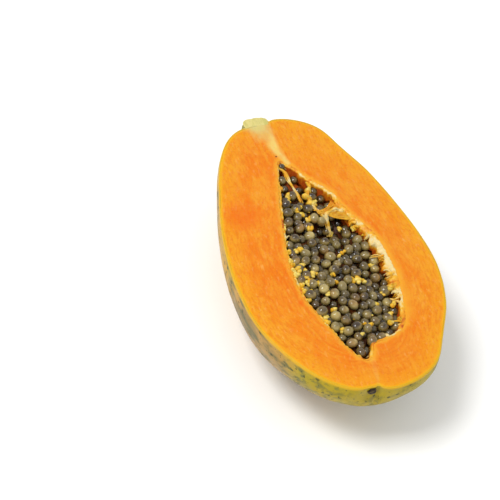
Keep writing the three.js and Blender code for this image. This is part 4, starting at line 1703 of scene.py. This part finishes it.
    def threads(self) -> Surface:
        """Short threads from the lining in among the seeds: they leave it, bow and taper.

        Returns:
            The threads.
        """
        rng = np.random.default_rng(self.thread_seed)
        count = self.thread_count
        samples = self.thread_roots
        edge, inward = self.mouth.along(samples)
        crowd = np.clip(noise(raised(edge), 6.0, 92) + 0.3, 0, 1) ** 2
        weight = crowd * (0.15 + self.form.layer(np.arange(samples) / samples))
        pick = rng.choice(samples, count, p=weight / weight.sum())
        thick = self.form.thickness(pick / samples)[:, None]
        root = raised(edge[pick] + inward[pick] * thick * 0.7, rng.uniform(-2.8, -0.9, count))
        aside = np.stack([-inward[pick, 1], inward[pick, 0]], -1) * rng.uniform(-0.9, 0.9, (count, 1))
        flat = (inward[pick] + aside) * rng.uniform(0.8, 1.0, (count, 1)) * rng.gamma(3.0, 0.9, (count, 1))
        end = root + raised(flat, rng.uniform(-3.0, -0.6, count))
        t = np.linspace(0, 1, self.thread_points)[None, :, None]
        bow = raised(aside * 1.2, 0.6)[:, None]
        paths = root[:, None] * (1 - t) + end[:, None] * t + np.sin(math.pi * t) * bow
        radii = rng.gamma(4.0, 0.14, (count, 1)) * (1 + 0.4 * noise(paths, 1.6, 93)) * (1 - 0.5 * t[..., 0])
        surface = tubes(paths, radii, self.thread_sides)
        surface.values = {"thin": np.repeat(rng.uniform(0.15, 0.65, count), len(surface.points) // count)}
        return surface.outward()

    def lump_balls(self, seeds: Grid) -> Surface:
        """Yellow lumps in the gaps between seeds, most of them on the left.

        Each is a few small balls that overlap, their radii shaken by noise.

        Args:
            seeds: The seeds' places.

        Returns:
            The lumps as one surface.
        """
        rng = np.random.default_rng(self.lump_seed)
        edge, inward = self.mouth.along(self.mouth.samples)
        ring = edge + inward * 0.7
        kept = [list(lump) for lump in self.lumps]
        while len(kept) < self.lump_count:
            x, y = rng.uniform(ring.min(0), ring.max(0))
            if not SeedMass.within(ring, x, y):
                continue
            to_left = np.linalg.norm(edge[self.left_from:] - [x, y], axis=1).min()
            by_edge = math.exp(-to_left / 3)
            clear = np.hypot(seeds[:, 0] - x, seeds[:, 1] - y).min() > 2.0 - 0.8 * by_edge
            apart = all(math.hypot(x - a[0], y - a[1]) > self.lump_apart for a in kept)
            crowd = max(0.0, 0.35 + float(noise(np.array([x, y, 0.0]), 7.0, 103))) ** 2
            open_gap = math.dist((x, y), self.mass.gap_at) < self.lump_off_gap
            barred = open_gap or not self.lump_from < y < self.lump_to
            if clear and apart and not barred and rng.random() < crowd * (0.06 + 1.6 * by_edge):
                z = min(float(self.mass.bed_height(x, y)) + rng.uniform(1.6, 3.8) + 2.5 * by_edge, -0.6)
                kept.append([x, y, z, rng.uniform(0.9, 1.7) + 0.7 * by_edge])
        at = np.repeat(np.array(kept), self.lump_parts, 0)
        at[:, :3] += self.lump_spread * at[:, 3:] * rng.normal(size=(len(at), 3)) * [1, 1, 0.5]
        at[:, 3] *= rng.uniform(0.75, 1.05, len(at))
        centre, count = at[:, :3], len(at)
        size = at[:, 3:] * rng.uniform(0.8, 1.1, (count, 3)) * [1.15, 0.95, 0.75]
        turn = random_turns(rng, count)
        grid = ball(self.lump_rows, self.lump_sides)
        rings = np.einsum("sij,srcj->srci", turn, grid[None] * size[:, None, None])
        spots = rings + centre[:, None, None]
        swell = 1 + 0.38 * noise(spots, 1.6, 102) + 0.12 * noise(spots, 0.7, 104)
        rings = rings * swell[..., None] + centre[:, None, None]
        surface = lofted(rings, rings[:, 0].mean(1), rings[:, -1].mean(1))
        surface.values = {"thin": np.repeat(rng.uniform(0.05, 0.6, count), len(surface.points) // count)}
        return surface.outward()


# Studio


@dataclass
class Studio:
    """White paper, soft daylight from above, and the camera."""

    placing: Placing
    floor_half: float = 6.0
    aim: Triple = (-40.46, 3.26, 0.0)
    distance: float = 788.9
    azimuth: float = -28.31
    elevation: float = 47.87
    roll: float = 13.97
    lens: float = 109.3
    key_way: Triple = (-0.33, 0.5, 0.8)
    key_far: float = 1.5
    key_size: float = 0.5
    key_power: float = 14.5
    sky: float = 0.84
    sky_white: str = "#FFFFFF"

    def build(self) -> None:
        """Floor, camera, lights and the plain view of colours."""
        self.floor()
        camera = self.camera()
        self.lights(camera)
        bpy.context.scene.view_settings.view_transform = "Standard"

    def floor(self) -> None:
        """A flat sheet of white paper."""
        h = self.floor_half
        mesh = bpy.data.meshes.new("floor")
        mesh.from_pydata([(-h, -h, 0), (h, -h, 0), (h, h, 0), (-h, h, 0)], [], [(0, 1, 2, 3)])
        mesh.materials.append(StudioPaper().make())
        floor = bpy.data.objects.new("floor", mesh)
        bpy.context.scene.collection.objects.link(floor)

    def camera(self) -> bpy.types.Object:
        """The camera at the photograph's angle, leaning as the fruit does there.

        Returns:
            The camera.
        """
        turn, rise = math.radians(self.azimuth), math.radians(self.elevation)
        back = Vector((math.sin(turn) * math.cos(rise), -math.cos(turn) * math.cos(rise), math.sin(rise)))
        level = Vector((0, 0, 1)).cross(back).normalized()
        up = back.cross(level)
        lean = math.radians(self.roll)
        right = level * math.cos(lean) + up * math.sin(lean)
        up = back.cross(right)
        place = Vector(self.placing.to_row(np.array(self.aim))) + back * self.distance * MM
        data = bpy.data.cameras.new("camera")
        data.lens = self.lens
        data.clip_start = 0.01
        camera = bpy.data.objects.new("camera", data)
        bpy.context.scene.collection.objects.link(camera)
        camera.matrix_world = Matrix.Translation(place) @ Matrix((right, up, back)).transposed().to_4x4()
        bpy.context.scene.camera = camera
        return camera

    def lights(self, camera: bpy.types.Object) -> None:
        """One large soft lamp above and a white sky.

        Args:
            camera: The camera, whose axes the lamp's direction is given in.
        """
        axes = camera.matrix_world.to_3x3()
        target = Vector(self.placing.to_row(np.zeros(3)))
        way = (axes @ Vector(self.key_way)).normalized()
        data = bpy.data.lights.new("key", "AREA")
        data.size = self.key_size
        data.energy = self.key_power
        lamp = bpy.data.objects.new("key", data)
        bpy.context.scene.collection.objects.link(lamp)
        turned = way.to_track_quat("Z", "Y").to_matrix().to_4x4()
        lamp.matrix_world = Matrix.Translation(target + way * self.key_far) @ turned
        world = bpy.data.worlds.new("sky")
        world.use_nodes = True
        background = world.node_tree.nodes["Background"]
        background.inputs["Color"].default_value = linear(self.sky_white)
        background.inputs["Strength"].default_value = self.sky
        bpy.context.scene.world = world


def write_sizes() -> None:
    """Updates the view layer."""
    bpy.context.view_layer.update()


def main() -> None:
    """Builds the half fruit, its stub, its seeds and its lining, then the studio round them."""
    logging.basicConfig(level=logging.INFO, format="%(name)s %(message)s")
    form, mouth, lining = FruitForm(), MouthForm(), LiningForm()
    placing = Placing.from_solids(form)
    CutHalf(form, mouth, placing).build()
    StalkStub(form, placing).build()
    mass = SeedMass(form, mouth, lining, placing)
    Placenta(mouth, lining, mass, placing).build(mass.build())
    Studio(placing).build()
    write_sizes()


if __name__ == "__main__":
    main()
